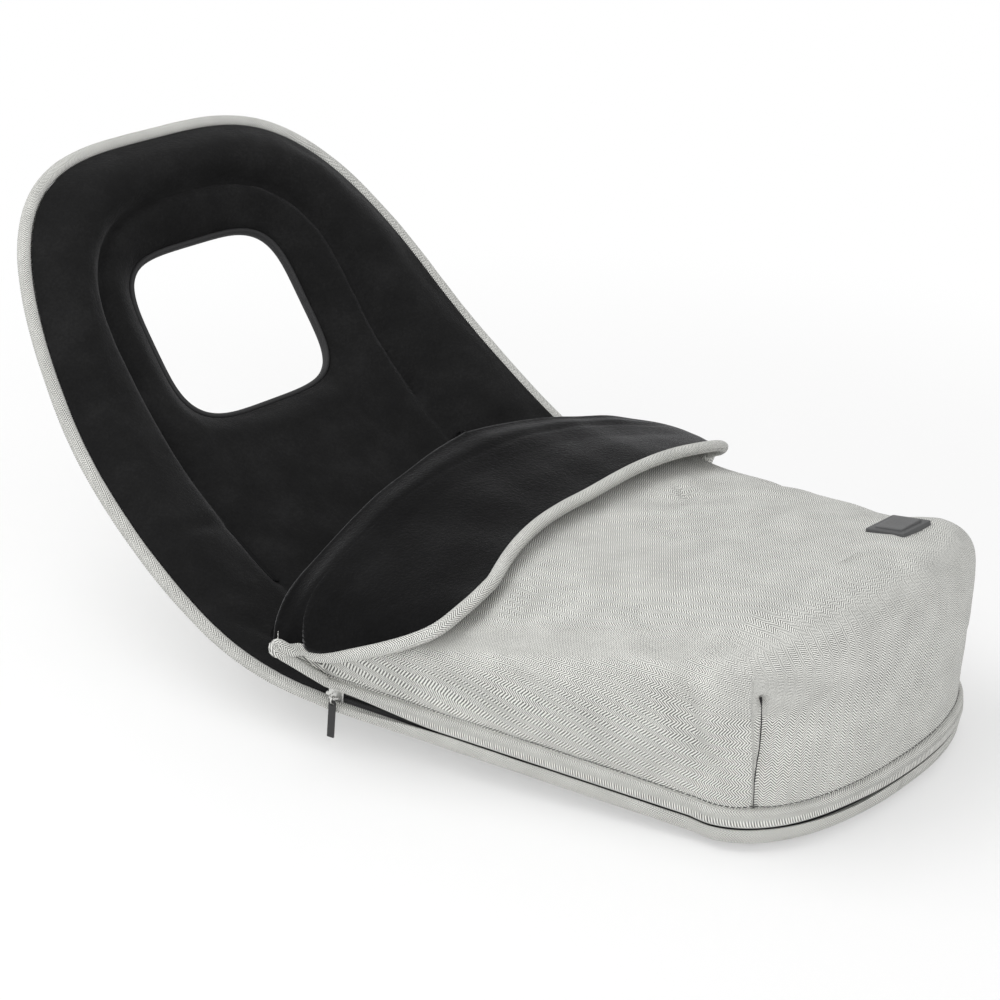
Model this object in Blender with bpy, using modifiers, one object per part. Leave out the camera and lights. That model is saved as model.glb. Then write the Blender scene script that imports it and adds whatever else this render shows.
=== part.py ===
"""Stroller footmuff: a padded bag for a pushchair seat, with a zip-on cover whose top is folded back.

Metres, +Z up. The toe points to -Y and the head to +Y. The footmuff is symmetric about X = 0, apart from
its label. The back panel follows a seat: flat under the legs, then bent up behind the child. A place on
the panel is given as its distance across, its run of cloth from the toe, and its lift off the underside.
"""
import copy
import math

import bmesh
import bpy
from mathutils import Matrix, Vector
from mathutils.bvhtree import BVHTree
from mathutils.kdtree import KDTree

# Back panel, laid out flat
PANEL_LENGTH = 0.948
TOE_HALF_WIDTH = 0.147
HEAD_HALF_WIDTH = 0.239
TOE_CORNER = 0.0765
HEAD_CORNER = 0.610
TAPER_END = 0.365
WIDEST_RUN = 0.500
TOE_POWER = 2.29
HEAD_POWER = 3.57

# How the panel lies on the seat
FLAT_LENGTH = 0.321
BEND_RADIUS = 0.496
BACK_ANGLE = math.radians(49.0)

# Lift of the panel's bound edge: low at the toe, higher at the zip's end and round the head
EDGE_LIFT_TOE = 0.010
EDGE_LIFT_ZIP = 0.036
EDGE_LIFT_HEAD = 0.047
EDGE_RISE_START = 0.0635
EDGE_RISE_ZIP = 0.380
EDGE_RISE_HEAD = 0.654

# Padding
PAD_THICKNESS = 0.022
EDGE_THICKNESS = 0.0062
EDGE_ROUNDING = 0.050
RIM_THICKNESS = 0.0075
RIM_ROUNDING = 0.028
BOLSTER_RISE = 0.011
SEAM_PINCH = 0.007
SEAM_PINCH_REACH = 0.016
BOLSTER_START = 0.440
BOLSTER_FULL = 0.600
BACK_LIFT = 0.008
BACK_LIFT_START = 0.400
BACK_LIFT_FULL = 0.650
FLAT_SHARE = 0.45
BOAT_POWER = 2.2

# Cloth and the running clearance between pieces
SHELL_CLOTH = 0.0012
LINER_CLOTH = 0.0025
LAYER_GAP = 0.0005
GAP = 0.0003
BINDING_RADIUS = 0.0045
LAYER_INSET = 2.0 * BINDING_RADIUS + 2.0 * GAP

# Where the back folds up from the base
HINGE_RUN = 0.490
FOLD_UP = math.radians(28.0)
FOLD_DOWN = math.radians(25.0)
FOLD_MARGIN = math.radians(6.5)
HINGE_GAP = 0.0004

# Head opening and the arched seam between the inner panel and the bolster
OPENING_RUN = 0.768
OPENING_HALF_LENGTH = 0.0753
OPENING_HALF_WIDTH = 0.0855
OPENING_POWER = 3.96
OPENING_PIPING_RADIUS = 0.0025
SEAM_HALF_WIDTH = 0.133
SEAM_TOP_RUN = 0.887
SEAM_CORNER = 0.1235
SEAM_POWER = 2.64

# Harness slots: two for the lap belt in the back, one for the crotch strap in the base
SLOT_WIDTH = 0.003
SLOT_PIPING_RADIUS = 0.0016
SLOT_PIPING_STEP = 0.0055
LAP_SLOT_LENGTH = 0.062
LAP_SLOT_RUN = 0.552
LAP_SLOT_ACROSS = 0.137
CROTCH_SLOT_LENGTH = 0.050
CROTCH_SLOT_RUN = 0.405

# Cover, as a tunnel over the base that ends in a flared mouth
COVER_TOE_HEIGHT = 0.1733
COVER_WAIST_HEIGHT = 0.1200
COVER_WAIST_RUN = 0.342
COVER_RIDGE_START = 0.0582
COVER_POWER = 3.42
COVER_SWELL = 0.15
COVER_WADDING = 0.006
MOUTH_FOOT_RUN = 0.365
MOUTH_RIDGE_RUN = 0.240
MOUTH_END_RUN = 0.405
MOUTH_POWER = 1.5
CREST_HALF_WIDTH = 0.260
CREST_CORNER_ALONG = 0.368
CREST_CORNER_HEIGHT = 0.095
CREST_REACH = 0.051
CREST_HEIGHT = 0.171
CREST_POWER = 1.46

# Flap: the cover's top, folded back along the crest with its lining showing
FLAP_DEPTH_MIDDLE = 0.135
FLAP_DEPTH_CORNER = 0.002
FLAP_DEPTH_POWER = 1.3
FLAP_STAND_OFF_MIDDLE = 0.018
FLAP_STAND_OFF_CORNER = 0.005
FLAP_WADDING = 0.003
HEM_RADIUS = 0.0042

# Zip, from the base binding upward: tape, two chain halves with the slider's neck between, tape, piping
TAPE_HEIGHT = 0.002
TAPE_THICKNESS = 0.0006
CHAIN_HEIGHT = 0.0018
CHAIN_THICKNESS = 0.0022
CHAIN_SPLIT = 0.002
PIPING_RADIUS = 0.0035
ZIP_END_RUN = 0.365
STOP_LENGTH = 0.0025

# Slider and its pull
SLIDER_RUN = 0.358
SLIDER_LENGTH = 0.0125
SLIDER_HEIGHT = 0.009
PLATE_THICKNESS = 0.0012
PLATE_GAP = 0.0029
NECK_HEIGHT = 0.0010
BRIDGE_REACH = 0.0050
BRIDGE_LENGTH = 0.008
BRIDGE_WIRE = 0.0006
LINK_RADIUS = 0.0028
LINK_WIRE = 0.0006
PULL_LENGTH = 0.034
PULL_WIDTH = 0.0055
PULL_THICKNESS = 0.0016
PULL_EYE_RADIUS = 0.0015

# Label on the cover's toe, left blank
LABEL_ACROSS = 0.079
LABEL_RUN = 0.065
LABEL_WIDTH = 0.037
LABEL_DEPTH = 0.033
LABEL_THICKNESS = 0.0012
BADGE_MARGIN = 0.004
BADGE_THICKNESS = 0.0008

# Stations of the meshes: runs as shares of the stretch that they divide, angles in degrees
TOE_ANGLES = (0.0, 14.0, 27.0, 40.0, 53.0, 66.0, 78.0)
ZIP_RUN_SHARES = (0.0, 0.2, 0.4, 0.6, 0.8, 1.0)
SEAT_RUN_SHARES = (0.3, 0.58, 0.82, 1.0)
ACROSS_SHARES = (-1.0, -0.93, -0.82, -0.64, -0.44, -0.2, 0.0, 0.2, 0.44, 0.64, 0.82, 0.93, 1.0)
HEAD_ANGLES = (6.5, 12.0, 20.0, 28.0, 36.0, 44.0, 52.0, 60.0, 68.0, 76.0, 84.0)
HINGE_SHARES = (0.85, 0.62, 0.36, 0.12, -0.12, -0.36, -0.62, -0.85)
INNER_SHARES = (0.0, 0.22, 0.55, 0.80, 1.0)
BOLSTER_SHARES = (0.16, 0.42, 0.68, 0.88, 1.0)
SEAM_LIMIT_SHARES = (0.3, 0.72)
ARCH_ANGLES = (0.0, 8.0, 20.0, 36.0, 54.0, 70.0, 82.0, 90.0)
COVER_RUN_SHARES = (1.0, 0.965, 0.93, 0.90, 0.82, 0.73, 0.63, 0.52, 0.40, 0.27, 0.13, 0.0)
FLAP_DEPTH_SHARES = (0.0, 0.25, 0.5, 0.75, 1.0)
LABEL_SHARES = tuple(step / 8.0 for step in range(9))
OPENING_STEPS = 28
SEAM_SEARCH_STEPS = 16
CLEAR_ROUNDS = 12
CLEAR_SHARES = (0.0, 0.25, 0.5, 0.75, 1.0)
SLOT_END_STEPS = 3
BRIDGE_STEPS = 8
LINK_STEPS = 16
PULL_END_STEPS = 8

# Finishes: colour, roughness, metallic
FINISHES = {
    "herringbone_cloth": ((0.56, 0.56, 0.53), 0.9, 0.0),
    "fleece_lining": ((0.010, 0.010, 0.011), 1.0, 0.0),
    "wadding": ((0.85, 0.85, 0.82), 1.0, 0.0),
    "black_tape": ((0.012, 0.012, 0.013), 0.7, 0.0),
    "zip_coil": ((0.010, 0.010, 0.011), 0.5, 0.0),
    "zip_metal": ((0.70, 0.70, 0.68), 0.3, 1.0),
    "pull_plastic": ((0.020, 0.020, 0.021), 0.5, 0.0),
    "label_rubber": ((0.035, 0.035, 0.036), 0.6, 0.0),
}

MERGE_DISTANCE = 0.00002
CUT_REACH = 2.0 * PAD_THICKNESS
LEVEL_STEP = 0.001
SMOOTH_ANGLE = math.radians(50.0)
RIGHT_ANGLE = math.radians(90.0)


def share(value, start, end):
    """Returns how far a value lies from start to end, held between 0 and 1."""
    return min(max((value - start) / (end - start), 0.0), 1.0)


def smooth(part):
    """Returns a share eased at both of its ends."""
    return part * part * (3.0 - 2.0 * part)


def mix(start, end, part):
    """Returns the value that lies a share of the way from start to end."""
    return start + (end - start) * part


# Shape of the back panel

def spine(run):
    """Returns the distance along, the height and the slope of the panel's underside after a run of cloth."""
    slope = min(max((run - FLAT_LENGTH) / BEND_RADIUS, 0.0), BACK_ANGLE)
    straight = max(run - FLAT_LENGTH - BEND_RADIUS * BACK_ANGLE, 0.0)
    along = min(run, FLAT_LENGTH) + BEND_RADIUS * math.sin(slope) + straight * math.cos(slope)
    height = BEND_RADIUS * (1.0 - math.cos(slope)) + straight * math.sin(slope)
    return along, height, slope


def on_panel(across, run, lift):
    """Returns the point at a place on the panel."""
    along, height, slope = spine(run)
    return Vector((across, along - lift * math.sin(slope), height + lift * math.cos(slope)))


def panel_normal(run):
    """Returns the direction of lift at a run."""
    slope = spine(run)[2]
    return Vector((0.0, -math.sin(slope), math.cos(slope)))


def side_slope():
    """Returns how fast the half width grows along the straight, tapered sides."""
    spread = (TAPER_END - TOE_CORNER) + 0.5 * (WIDEST_RUN - TAPER_END)
    return (HEAD_HALF_WIDTH - TOE_HALF_WIDTH) / spread


def panel_width(run):
    """Returns the half width that the panel's pattern has before its toe and head are rounded."""
    straight = min(max(run, TOE_CORNER), TAPER_END) - TOE_CORNER
    reach = WIDEST_RUN - TAPER_END
    eased = min(max(run - TAPER_END, 0.0), reach)
    return TOE_HALF_WIDTH + side_slope() * (straight + eased - eased * eased / (2.0 * reach))


def panel_rise(run):
    """Returns the lift that the middle of the panel's bound edge has where no zip pulls on it."""
    side = mix(EDGE_LIFT_TOE, EDGE_LIFT_ZIP, share(run, EDGE_RISE_START, EDGE_RISE_ZIP))
    return side + (EDGE_LIFT_HEAD - EDGE_LIFT_ZIP) * smooth(share(run, EDGE_RISE_ZIP, EDGE_RISE_HEAD))


def zip_ends():
    """Returns where the middle of the right-hand binding lies at the toe's corner and at the zip's end."""
    return [
        on_panel(panel_width(run) - BINDING_RADIUS, run, panel_rise(run)) for run in (TOE_CORNER, ZIP_END_RUN)
    ]


def zip_place(run):
    """Returns the half width and the lift, at a run, of the straight line that the closed zip pulls the edge to."""
    along, height, _ = spine(run)
    ground = Vector((0.0, along, height))
    normal = panel_normal(run)
    tangent = Vector((0.0, normal.z, -normal.y))
    start, end = zip_ends()
    part = (ground - start).dot(tangent) / (end - start).dot(tangent)
    place = start.lerp(end, part)
    return place.x + BINDING_RADIUS, (place - ground).dot(normal)


def is_on_zip(run):
    """Returns whether a run lies on the straight side of the zip."""
    return TOE_CORNER <= run <= ZIP_END_RUN


def side_width(run, inset):
    """Returns the half width before the toe and the head are rounded."""
    width = zip_place(run)[0] if is_on_zip(run) else panel_width(run)
    return width - inset


def end_share(run, inset):
    """Returns how far a run is into the toe's or the head's rounding, and that rounding's power."""
    if run < TOE_CORNER:
        return min((TOE_CORNER - run) / (TOE_CORNER - inset), 1.0), TOE_POWER
    start = PANEL_LENGTH - HEAD_CORNER
    return share(run, start, PANEL_LENGTH - inset), HEAD_POWER


def half_width(run, inset):
    """Returns the half width of the outline, drawn in by an inset."""
    end, power = end_share(run, inset)
    return side_width(run, inset) * (1.0 - end ** power) ** (1.0 / power)


def toe_run(angle, inset):
    """Returns the run of the outline at an angle round the toe's corner."""
    rest = math.cos(math.radians(angle)) ** (2.0 / TOE_POWER)
    return inset + (TOE_CORNER - inset) * (1.0 - rest)


def head_run(angle, inset):
    """Returns the run of the outline at an angle round the head."""
    start = PANEL_LENGTH - HEAD_CORNER
    return start + (HEAD_CORNER - inset) * math.sin(math.radians(angle)) ** (2.0 / HEAD_POWER)


def edge_lift(run):
    """Returns the lift of the middle of the bound edge."""
    return zip_place(run)[1] if is_on_zip(run) else panel_rise(run)


def above_edge(side, run, height):
    """Returns the point straight above the middle of the bound edge, on the left (-1) or the right (+1)."""
    return on_panel(side * half_width(run, BINDING_RADIUS), run, edge_lift(run)) + Vector((0.0, 0.0, height))


def outline_level(across, run):
    """Returns 1 on the padding's outline and less inside it."""
    end, power = end_share(run, LAYER_INSET)
    side = abs(across) / side_width(run, LAYER_INSET)
    return (side ** power + end ** power) ** (1.0 / power)


def opening_level(across, run):
    """Returns 1 on the rim of the padding round the head opening and more outside it."""
    room = 2.0 * (OPENING_PIPING_RADIUS + GAP)
    side = abs(across) / (OPENING_HALF_WIDTH + room)
    end = abs(run - OPENING_RUN) / (OPENING_HALF_LENGTH + room)
    return (side ** OPENING_POWER + end ** OPENING_POWER) ** (1.0 / OPENING_POWER)


def seam_level(across, run):
    """Returns 1 on the arched seam and more outside it."""
    side = abs(across) / SEAM_HALF_WIDTH
    end = max(run - (SEAM_TOP_RUN - SEAM_CORNER), 0.0) / SEAM_CORNER
    return (side ** SEAM_POWER + end ** SEAM_POWER) ** (1.0 / SEAM_POWER)


def distance_outside(level, across, run):
    """Returns about how far a place lies outside the line where a level is 1."""
    here = level(across, run)
    slope_across = (level(across + LEVEL_STEP, run) - level(across - LEVEL_STEP, run)) / (2.0 * LEVEL_STEP)
    slope_run = (level(across, run + LEVEL_STEP) - level(across, run - LEVEL_STEP)) / (2.0 * LEVEL_STEP)
    steepness = math.hypot(slope_across, slope_run)
    return (here - 1.0) / max(steepness, 1.0 / PANEL_LENGTH)


def underside(across, run):
    """Returns the lift of the panel's outer face: flat in the middle, rising like a boat to its edge."""
    keel = BACK_LIFT * smooth(share(run, BACK_LIFT_START, BACK_LIFT_FULL))
    rim = edge_lift(run) - 0.5 * EDGE_THICKNESS
    climb = max(outline_level(across, run) - FLAT_SHARE, 0.0) / (1.0 - FLAT_SHARE)
    return keel + (rim - keel) * climb ** BOAT_POWER


def bolster(across, run):
    """Returns what the bolster outside the arched seam adds to the padding, less the pinch of its stitching."""
    from_seam = distance_outside(seam_level, across, run)
    to_edge = max(-distance_outside(outline_level, across, run), 0.0)
    crown = 0.0
    if from_seam > 0.0:
        crown = BOLSTER_RISE * math.sin(math.pi * (from_seam / (from_seam + to_edge)) ** 0.8)
    pinch = SEAM_PINCH * (1.0 - share(abs(from_seam), 0.0, SEAM_PINCH_REACH))
    return (crown - pinch) * smooth(share(run, BOLSTER_START, BOLSTER_FULL))


def topside(across, run):
    """Returns the lift of the panel's lined face."""
    to_edge = max(-distance_outside(outline_level, across, run), 0.0)
    from_rim = max(distance_outside(opening_level, across, run), 0.0)
    edge = math.sin(RIGHT_ANGLE * share(to_edge, 0.0, EDGE_ROUNDING))
    rim = math.sin(RIGHT_ANGLE * share(from_rim, 0.0, RIM_ROUNDING))
    padding = mix(EDGE_THICKNESS, mix(RIM_THICKNESS, PAD_THICKNESS, rim), edge)
    return underside(across, run) + padding + bolster(across, run)


def hinge_lift():
    """Returns the lift of the axis that the back folds about: halfway into the lining, in the panel's middle."""
    return topside(0.0, HINGE_RUN) - 0.5 * LINER_CLOTH


def hinge_run(lift, side):
    """Returns the run of the gap's wall at a lift, on the base's side (-1) or the back's (+1).

    The gap is narrowest across the lining at the hinge's axis, and widens above and below it, to let the
    back fold both ways.
    """
    above = max(lift - hinge_lift() - 0.5 * LINER_CLOTH, 0.0) * math.tan(0.5 * (FOLD_UP + FOLD_MARGIN))
    below = max(hinge_lift() - 0.5 * LINER_CLOTH - lift, 0.0) * math.tan(0.5 * (FOLD_DOWN + FOLD_MARGIN))
    return HINGE_RUN + side * (HINGE_GAP + above + below)


# Shape of the cover

def cover_thickness():
    """Returns the thickness of the cover with all its layers."""
    return SHELL_CLOTH + LAYER_GAP + COVER_WADDING + LAYER_GAP + LINER_CLOTH


def chain_lift():
    """Returns the middle of the zip's chain above the middle of the base binding."""
    return BINDING_RADIUS + GAP + TAPE_HEIGHT + GAP + CHAIN_HEIGHT + 0.5 * CHAIN_SPLIT


def piping_lift():
    """Returns the middle of the cover's piping above the middle of the base binding."""
    return chain_lift() + 0.5 * CHAIN_SPLIT + CHAIN_HEIGHT + GAP + TAPE_HEIGHT + GAP + PIPING_RADIUS


def cover_point(run, turn, side):
    """Returns the point of the cover's outer face at a run along its foot and a turn from foot to ridge."""
    flat = math.cos(turn) ** (2.0 / COVER_POWER) if turn < RIGHT_ANGLE else 0.0
    rise = math.sin(turn) ** (2.0 / COVER_POWER)
    swell = 1.0 + COVER_SWELL * math.sin(2.0 * turn)
    start = mix(MOUTH_FOOT_RUN, MOUTH_RIDGE_RUN, math.sin(turn) ** 2)
    flare = share(run, start, MOUTH_END_RUN) ** MOUTH_POWER
    run = min(run, MOUTH_FOOT_RUN)
    ridge = max(run, COVER_RIDGE_START)
    inset = BINDING_RADIUS - PIPING_RADIUS
    top = mix(COVER_TOE_HEIGHT, COVER_WAIST_HEIGHT, share(ridge, COVER_RIDGE_START, COVER_WAIST_RUN))
    along, ground, slope = spine(ridge + (run - ridge) * flat * swell)
    across = side * half_width(run, inset) * flat * swell
    foot = edge_lift(run) * math.cos(slope) + piping_lift() + PIPING_RADIUS + GAP
    back = edge_lift(run) * math.sin(slope) * (1.0 - rise)
    tunnel = Vector((across, along - back, ground + mix(foot, top, rise)))
    crest_flat = math.cos(turn) ** (2.0 / CREST_POWER) if turn < RIGHT_ANGLE else 0.0
    crest_rise = math.sin(turn) ** (2.0 / CREST_POWER)
    crest = Vector((
        side * CREST_HALF_WIDTH * crest_flat,
        CREST_CORNER_ALONG + CREST_REACH * math.sin(turn),
        mix(CREST_CORNER_HEIGHT, CREST_HEIGHT, crest_rise),
    ))
    return tunnel.lerp(crest, flare)


def mirrored(values):
    """Returns (side, value) pairs that go from the left through the last value to the right."""
    left = [(-1.0, value) for value in values]
    right = [(1.0, value) for value in reversed(values[:-1])]
    return left + right


# Meshes

class Surface:
    """An open sheet of triangles with its points, faces, outward normals and border edges."""

    def __init__(self, rows, flip=False, ring=False):
        builder = bmesh.new()
        grid = [[builder.verts.new(point) for point in row] for row in rows]
        columns = len(rows[0])
        for lower, upper in zip(grid, grid[1:]):
            for column in range(columns if ring else columns - 1):
                beside = (column + 1) % columns
                corners = (lower[column], lower[beside], upper[beside], upper[column])
                for triangle in (corners[:3], (corners[0], corners[2], corners[3])):
                    builder.faces.new(tuple(reversed(triangle)) if flip else triangle)
        bmesh.ops.remove_doubles(builder, verts=builder.verts[:], dist=MERGE_DISTANCE)
        bmesh.ops.dissolve_degenerate(builder, dist=MERGE_DISTANCE, edges=builder.edges[:])
        builder.normal_update()
        builder.verts.index_update()
        self.points = [vert.co.copy() for vert in builder.verts]
        self.normals = [vert.normal.copy() for vert in builder.verts]
        self.faces = [tuple(vert.index for vert in face.verts) for face in builder.faces]
        self.border = [
            (loop.vert.index, loop.link_loop_next.vert.index)
            for edge in builder.edges if edge.is_boundary for loop in edge.link_loops
        ]
        builder.free()

    def portion(self, keep):
        """Returns the part of the sheet whose faces have their middles where keep says."""
        piece = copy.copy(self)
        faces = [face for face in self.faces if keep(sum((self.points[i] for i in face), Vector()) / len(face))]
        used = sorted({index for face in faces for index in face})
        number = {index: place for place, index in enumerate(used)}
        piece.points = [self.points[index].copy() for index in used]
        piece.normals = [self.normals[index] for index in used]
        piece.faces = [tuple(number[index] for index in face) for face in faces]
        loops = {pair for face in piece.faces for pair in zip(face, face[1:] + face[:1])}
        piece.border = [pair for pair in sorted(loops) if pair[::-1] not in loops]
        return piece

    def at_depth(self, depth):
        """Returns the points moved inward, along their normals, by a depth."""
        return [point - normal * depth for point, normal in zip(self.points, self.normals)]

    def seat(self, point, direction):
        """Returns where a line from a point meets the sheet, and the sheet's normal there."""
        tree = BVHTree.FromPolygons(self.points, self.faces)
        place, normal, _, _ = tree.ray_cast(point, direction)
        return place, normal


    def edge_line(self, row, depth, reach):
        """Returns a line beside one edge of the sheet: a depth inward and a reach past the edge."""
        tree = KDTree(len(self.points))
        for index, point in enumerate(self.points):
            tree.insert(point, index)
        tree.balance()
        middle = sum(self.points, Vector()) / len(self.points)
        line = []
        for before, point, after in zip(row[:1] + row, row, row[1:] + row[-1:]):
            normal = self.normals[tree.find(point)[1]]
            outward = (after - before).cross(normal).normalized()
            if outward.dot(point - middle) < 0.0:
                outward = -outward
            line.append(point + outward * reach - normal * depth)
        return line


def loft(outer, outer_depth, inner, inner_depth):
    """Returns the points and faces of a closed body between two sheets of like layout, each drawn in by a depth."""
    count = len(outer.points)
    if outer is inner:
        far_faces = [tuple(index + count for index in reversed(face)) for face in outer.faces]
    else:
        far_faces = [tuple(index + count for index in face) for face in inner.faces]
    sides = []
    for first, second in outer.border:
        sides += [(second, first, first + count), (second, first + count, second + count)]
    points = outer.at_depth(outer_depth) + inner.at_depth(inner_depth)
    return points, outer.faces + far_faces + sides


def is_inside(tree, point):
    """Returns whether a point lies inside a closed body, from how often a line up from it meets the body."""
    meetings = 0
    place = point
    while place is not None:
        place = tree.ray_cast(place + Vector((0.0, 0.0, MERGE_DISTANCE)), Vector((0.0, 0.0, 1.0)))[0]
        meetings += place is not None
    return meetings % 2 == 1


def push_from(tree, here, room):
    """Returns how a point has to move to lie a room away from a closed body."""
    place, _, _, distance = tree.find_nearest(here)
    if is_inside(tree, here):
        return (place - here).normalized() * (room + distance)
    return (here - place).normalized() * max(room - distance, 0.0)


def cleared(line, surface, layers, room):
    """Returns a line pushed clear of layers at depths under a sheet, so that a cord along it keeps off the cloth."""
    trees = [BVHTree.FromPolygons(*loft(surface, start, surface, end)) for start, end in layers]
    line = [point.copy() for point in line]
    for _ in range(CLEAR_ROUNDS):
        pushes = [Vector() for _ in line]
        for index in range(len(line) - 1):
            for part in CLEAR_SHARES:
                here = line[index].lerp(line[index + 1], part)
                push = max((push_from(tree, here, room) for tree in trees), key=lambda found: found.length)
                for end in (index, index + 1):
                    if push.length > pushes[end].length:
                        pushes[end] = push
        line = [point + push for point, push in zip(line, pushes)]
    return line


def finish(name):
    """Returns the material of that name, made when it is first asked for."""
    known = bpy.data.materials.get(name)
    if known:
        return known
    colour, roughness, metallic = FINISHES[name]
    made = bpy.data.materials.new(name)
    made.use_nodes = True
    shader = made.node_tree.nodes["Principled BSDF"]
    shader.inputs["Base Color"].default_value = (*colour, 1.0)
    shader.inputs["Roughness"].default_value = roughness
    shader.inputs["Metallic"].default_value = metallic
    made.diffuse_color = (*colour, 1.0)
    return made


def add_object(name, data, finish_name):
    """Puts new mesh or curve data into the footmuff's collection as a named object."""
    piece = bpy.data.objects.new(name, data)
    data.materials.append(finish(finish_name))
    bpy.data.collections[COLLECTION].objects.link(piece)
    return piece


def new_mesh(name, points, faces):
    """Returns a smooth-shaded mesh."""
    mesh = bpy.data.meshes.new(name)
    mesh.from_pydata(points, [], faces)
    mesh.shade_smooth()
    mesh.set_sharp_from_angle(angle=SMOOTH_ANGLE)
    return mesh


def cloth(name, surface, depth, thickness, finish_name):
    """Adds a layer of cloth that starts at a depth under a surface."""
    piece = add_object(name, new_mesh(name, surface.at_depth(depth), surface.faces), finish_name)
    layer = piece.modifiers.new("thickness", "SOLIDIFY")
    layer.thickness = thickness
    layer.offset = -1.0
    return piece


def filling(name, outer, outer_depth, inner, inner_depth):
    """Adds wadding lofted between two surfaces of like layout, each drawn in by a depth."""
    points, faces = loft(outer, outer_depth, inner, inner_depth)
    return add_object(name, new_mesh(name, points, faces), "wadding")


def tube(name, points, radius, finish_name, closed=False):
    """Adds a round cord of piping or wire along a line of points."""
    curve = bpy.data.curves.new(name, "CURVE")
    curve.dimensions = "3D"
    curve.bevel_depth = radius
    curve.bevel_resolution = 2
    curve.use_fill_caps = True
    line = curve.splines.new("POLY")
    line.points.add(len(points) - 1)
    for target, point in zip(line.points, points):
        target.co = (*point, 1.0)
    line.use_cyclic_u = closed
    return add_object(name, curve, finish_name)


def plate(name, outline, holes, thickness, finish_name):
    """Adds a flat plate from an outline and holes drawn in its own X and Y."""
    curve = bpy.data.curves.new(name, "CURVE")
    curve.dimensions = "2D"
    curve.fill_mode = "BOTH"
    curve.extrude = 0.5 * thickness
    for loop in [outline] + holes:
        line = curve.splines.new("POLY")
        line.points.add(len(loop) - 1)
        for target, (first, second) in zip(line.points, loop):
            target.co = (first, second, 0.0, 1.0)
        line.use_cyclic_u = True
    return add_object(name, curve, finish_name)


def add_empty(name, matrix):
    """Adds a joint's empty at a place."""
    empty = bpy.data.objects.new(name, None)
    empty.empty_display_size = BINDING_RADIUS
    bpy.data.collections[COLLECTION].objects.link(empty)
    empty.matrix_world = matrix
    return empty


def attach(pieces, empty):
    """Parents pieces that were built in the world to a joint's empty, without moving them."""
    back = empty.matrix_world.inverted()
    for piece in pieces:
        piece.parent = empty
        piece.matrix_parent_inverse = back


def cut_slot(piece, cutter):
    """Cuts a slot right through a piece."""
    cut = piece.modifiers.new("slot", "BOOLEAN")
    cut.operation = "DIFFERENCE"
    cut.object = cutter


def slot_cutter(name, across, run, size_across, size_run):
    """Returns a thin box that stands square to the panel."""
    bpy.ops.mesh.primitive_cube_add(size=1.0)
    cutter = bpy.context.active_object
    cutter.name = name
    slope = spine(run)[2]
    stretch = Matrix.Diagonal((size_across, size_run, 2.0 * CUT_REACH, 1.0))
    cutter.data.transform(stretch)
    cutter.location = on_panel(across, run, 0.0)
    cutter.rotation_euler = (slope, 0.0, 0.0)
    cutter.hide_render = True
    cutter.display_type = "WIRE"
    for holder in list(cutter.users_collection):
        holder.objects.unlink(cutter)
    bpy.data.collections[CUTTERS].objects.link(cutter)
    return cutter


def divided(places, longest):
    """Returns a closed line of places with its long stretches divided evenly."""
    line = []
    for first, second in zip(places, places[1:] + places[:1]):
        count = max(math.ceil(math.dist(first, second) / longest), 1)
        for step in range(count):
            line.append(tuple(mix(start, end, step / count) for start, end in zip(first, second)))
    return line


def slot_piping(name, liner, across, run, half_across, half_run):
    """Adds the bound edge round a slot, laid on the lining."""
    margin = 0.5 * SLOT_WIDTH + SLOT_PIPING_RADIUS
    reach_across = half_across - 0.5 * SLOT_WIDTH
    reach_run = half_run - 0.5 * SLOT_WIDTH
    places = []
    steps = 2 * (SLOT_END_STEPS + 1)
    for step in range(steps):
        angle = 2.0 * math.pi * (step + 0.5) / steps
        here_across = across + math.copysign(reach_across, math.cos(angle)) + margin * math.cos(angle)
        here_run = run + math.copysign(reach_run, math.sin(angle)) + margin * math.sin(angle)
        places.append((here_across, here_run))
    points = []
    for here_across, here_run in divided(places, SLOT_PIPING_STEP):
        above = on_panel(here_across, here_run, CUT_REACH)
        place, normal = liner.seat(above, -panel_normal(here_run))
        points.append(place + normal * (SLOT_PIPING_RADIUS + 2.0 * GAP))
    return tube(name, points, SLOT_PIPING_RADIUS, "black_tape", closed=True)


# The parts

def padded_panel(prefix, liner_name, lower_rows, upper_rows, ring):
    """Adds a panel's outer cloth, wadding and lining, and returns them with the lined surface."""
    lower = Surface(lower_rows, flip=True, ring=ring)
    upper = Surface(upper_rows, ring=ring)
    shell = cloth(prefix + "_shell", lower, 0.0, SHELL_CLOTH, "herringbone_cloth")
    liner = cloth(liner_name, upper, 0.0, LINER_CLOTH, "fleece_lining")
    wadding = filling(
        prefix + "_wadding", lower, SHELL_CLOTH + LAYER_GAP, upper, LINER_CLOTH + LAYER_GAP)
    return [shell, wadding, liner], upper


def zip_runs(inset):
    """Returns the runs of the stations from the toe to the end of the zip, with one where the bend starts."""
    side = [mix(TOE_CORNER, ZIP_END_RUN, part) for part in ZIP_RUN_SHARES]
    if TOE_CORNER < FLAT_LENGTH < ZIP_END_RUN:
        side = sorted(set(side + [FLAT_LENGTH]))
    return [toe_run(angle, inset) for angle in TOE_ANGLES] + side


def base_runs(inset):
    """Returns the runs of the base's rows, from the toe to the hinge."""
    return zip_runs(inset) + [mix(ZIP_END_RUN, HINGE_RUN, part) for part in SEAT_RUN_SHARES]


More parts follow.
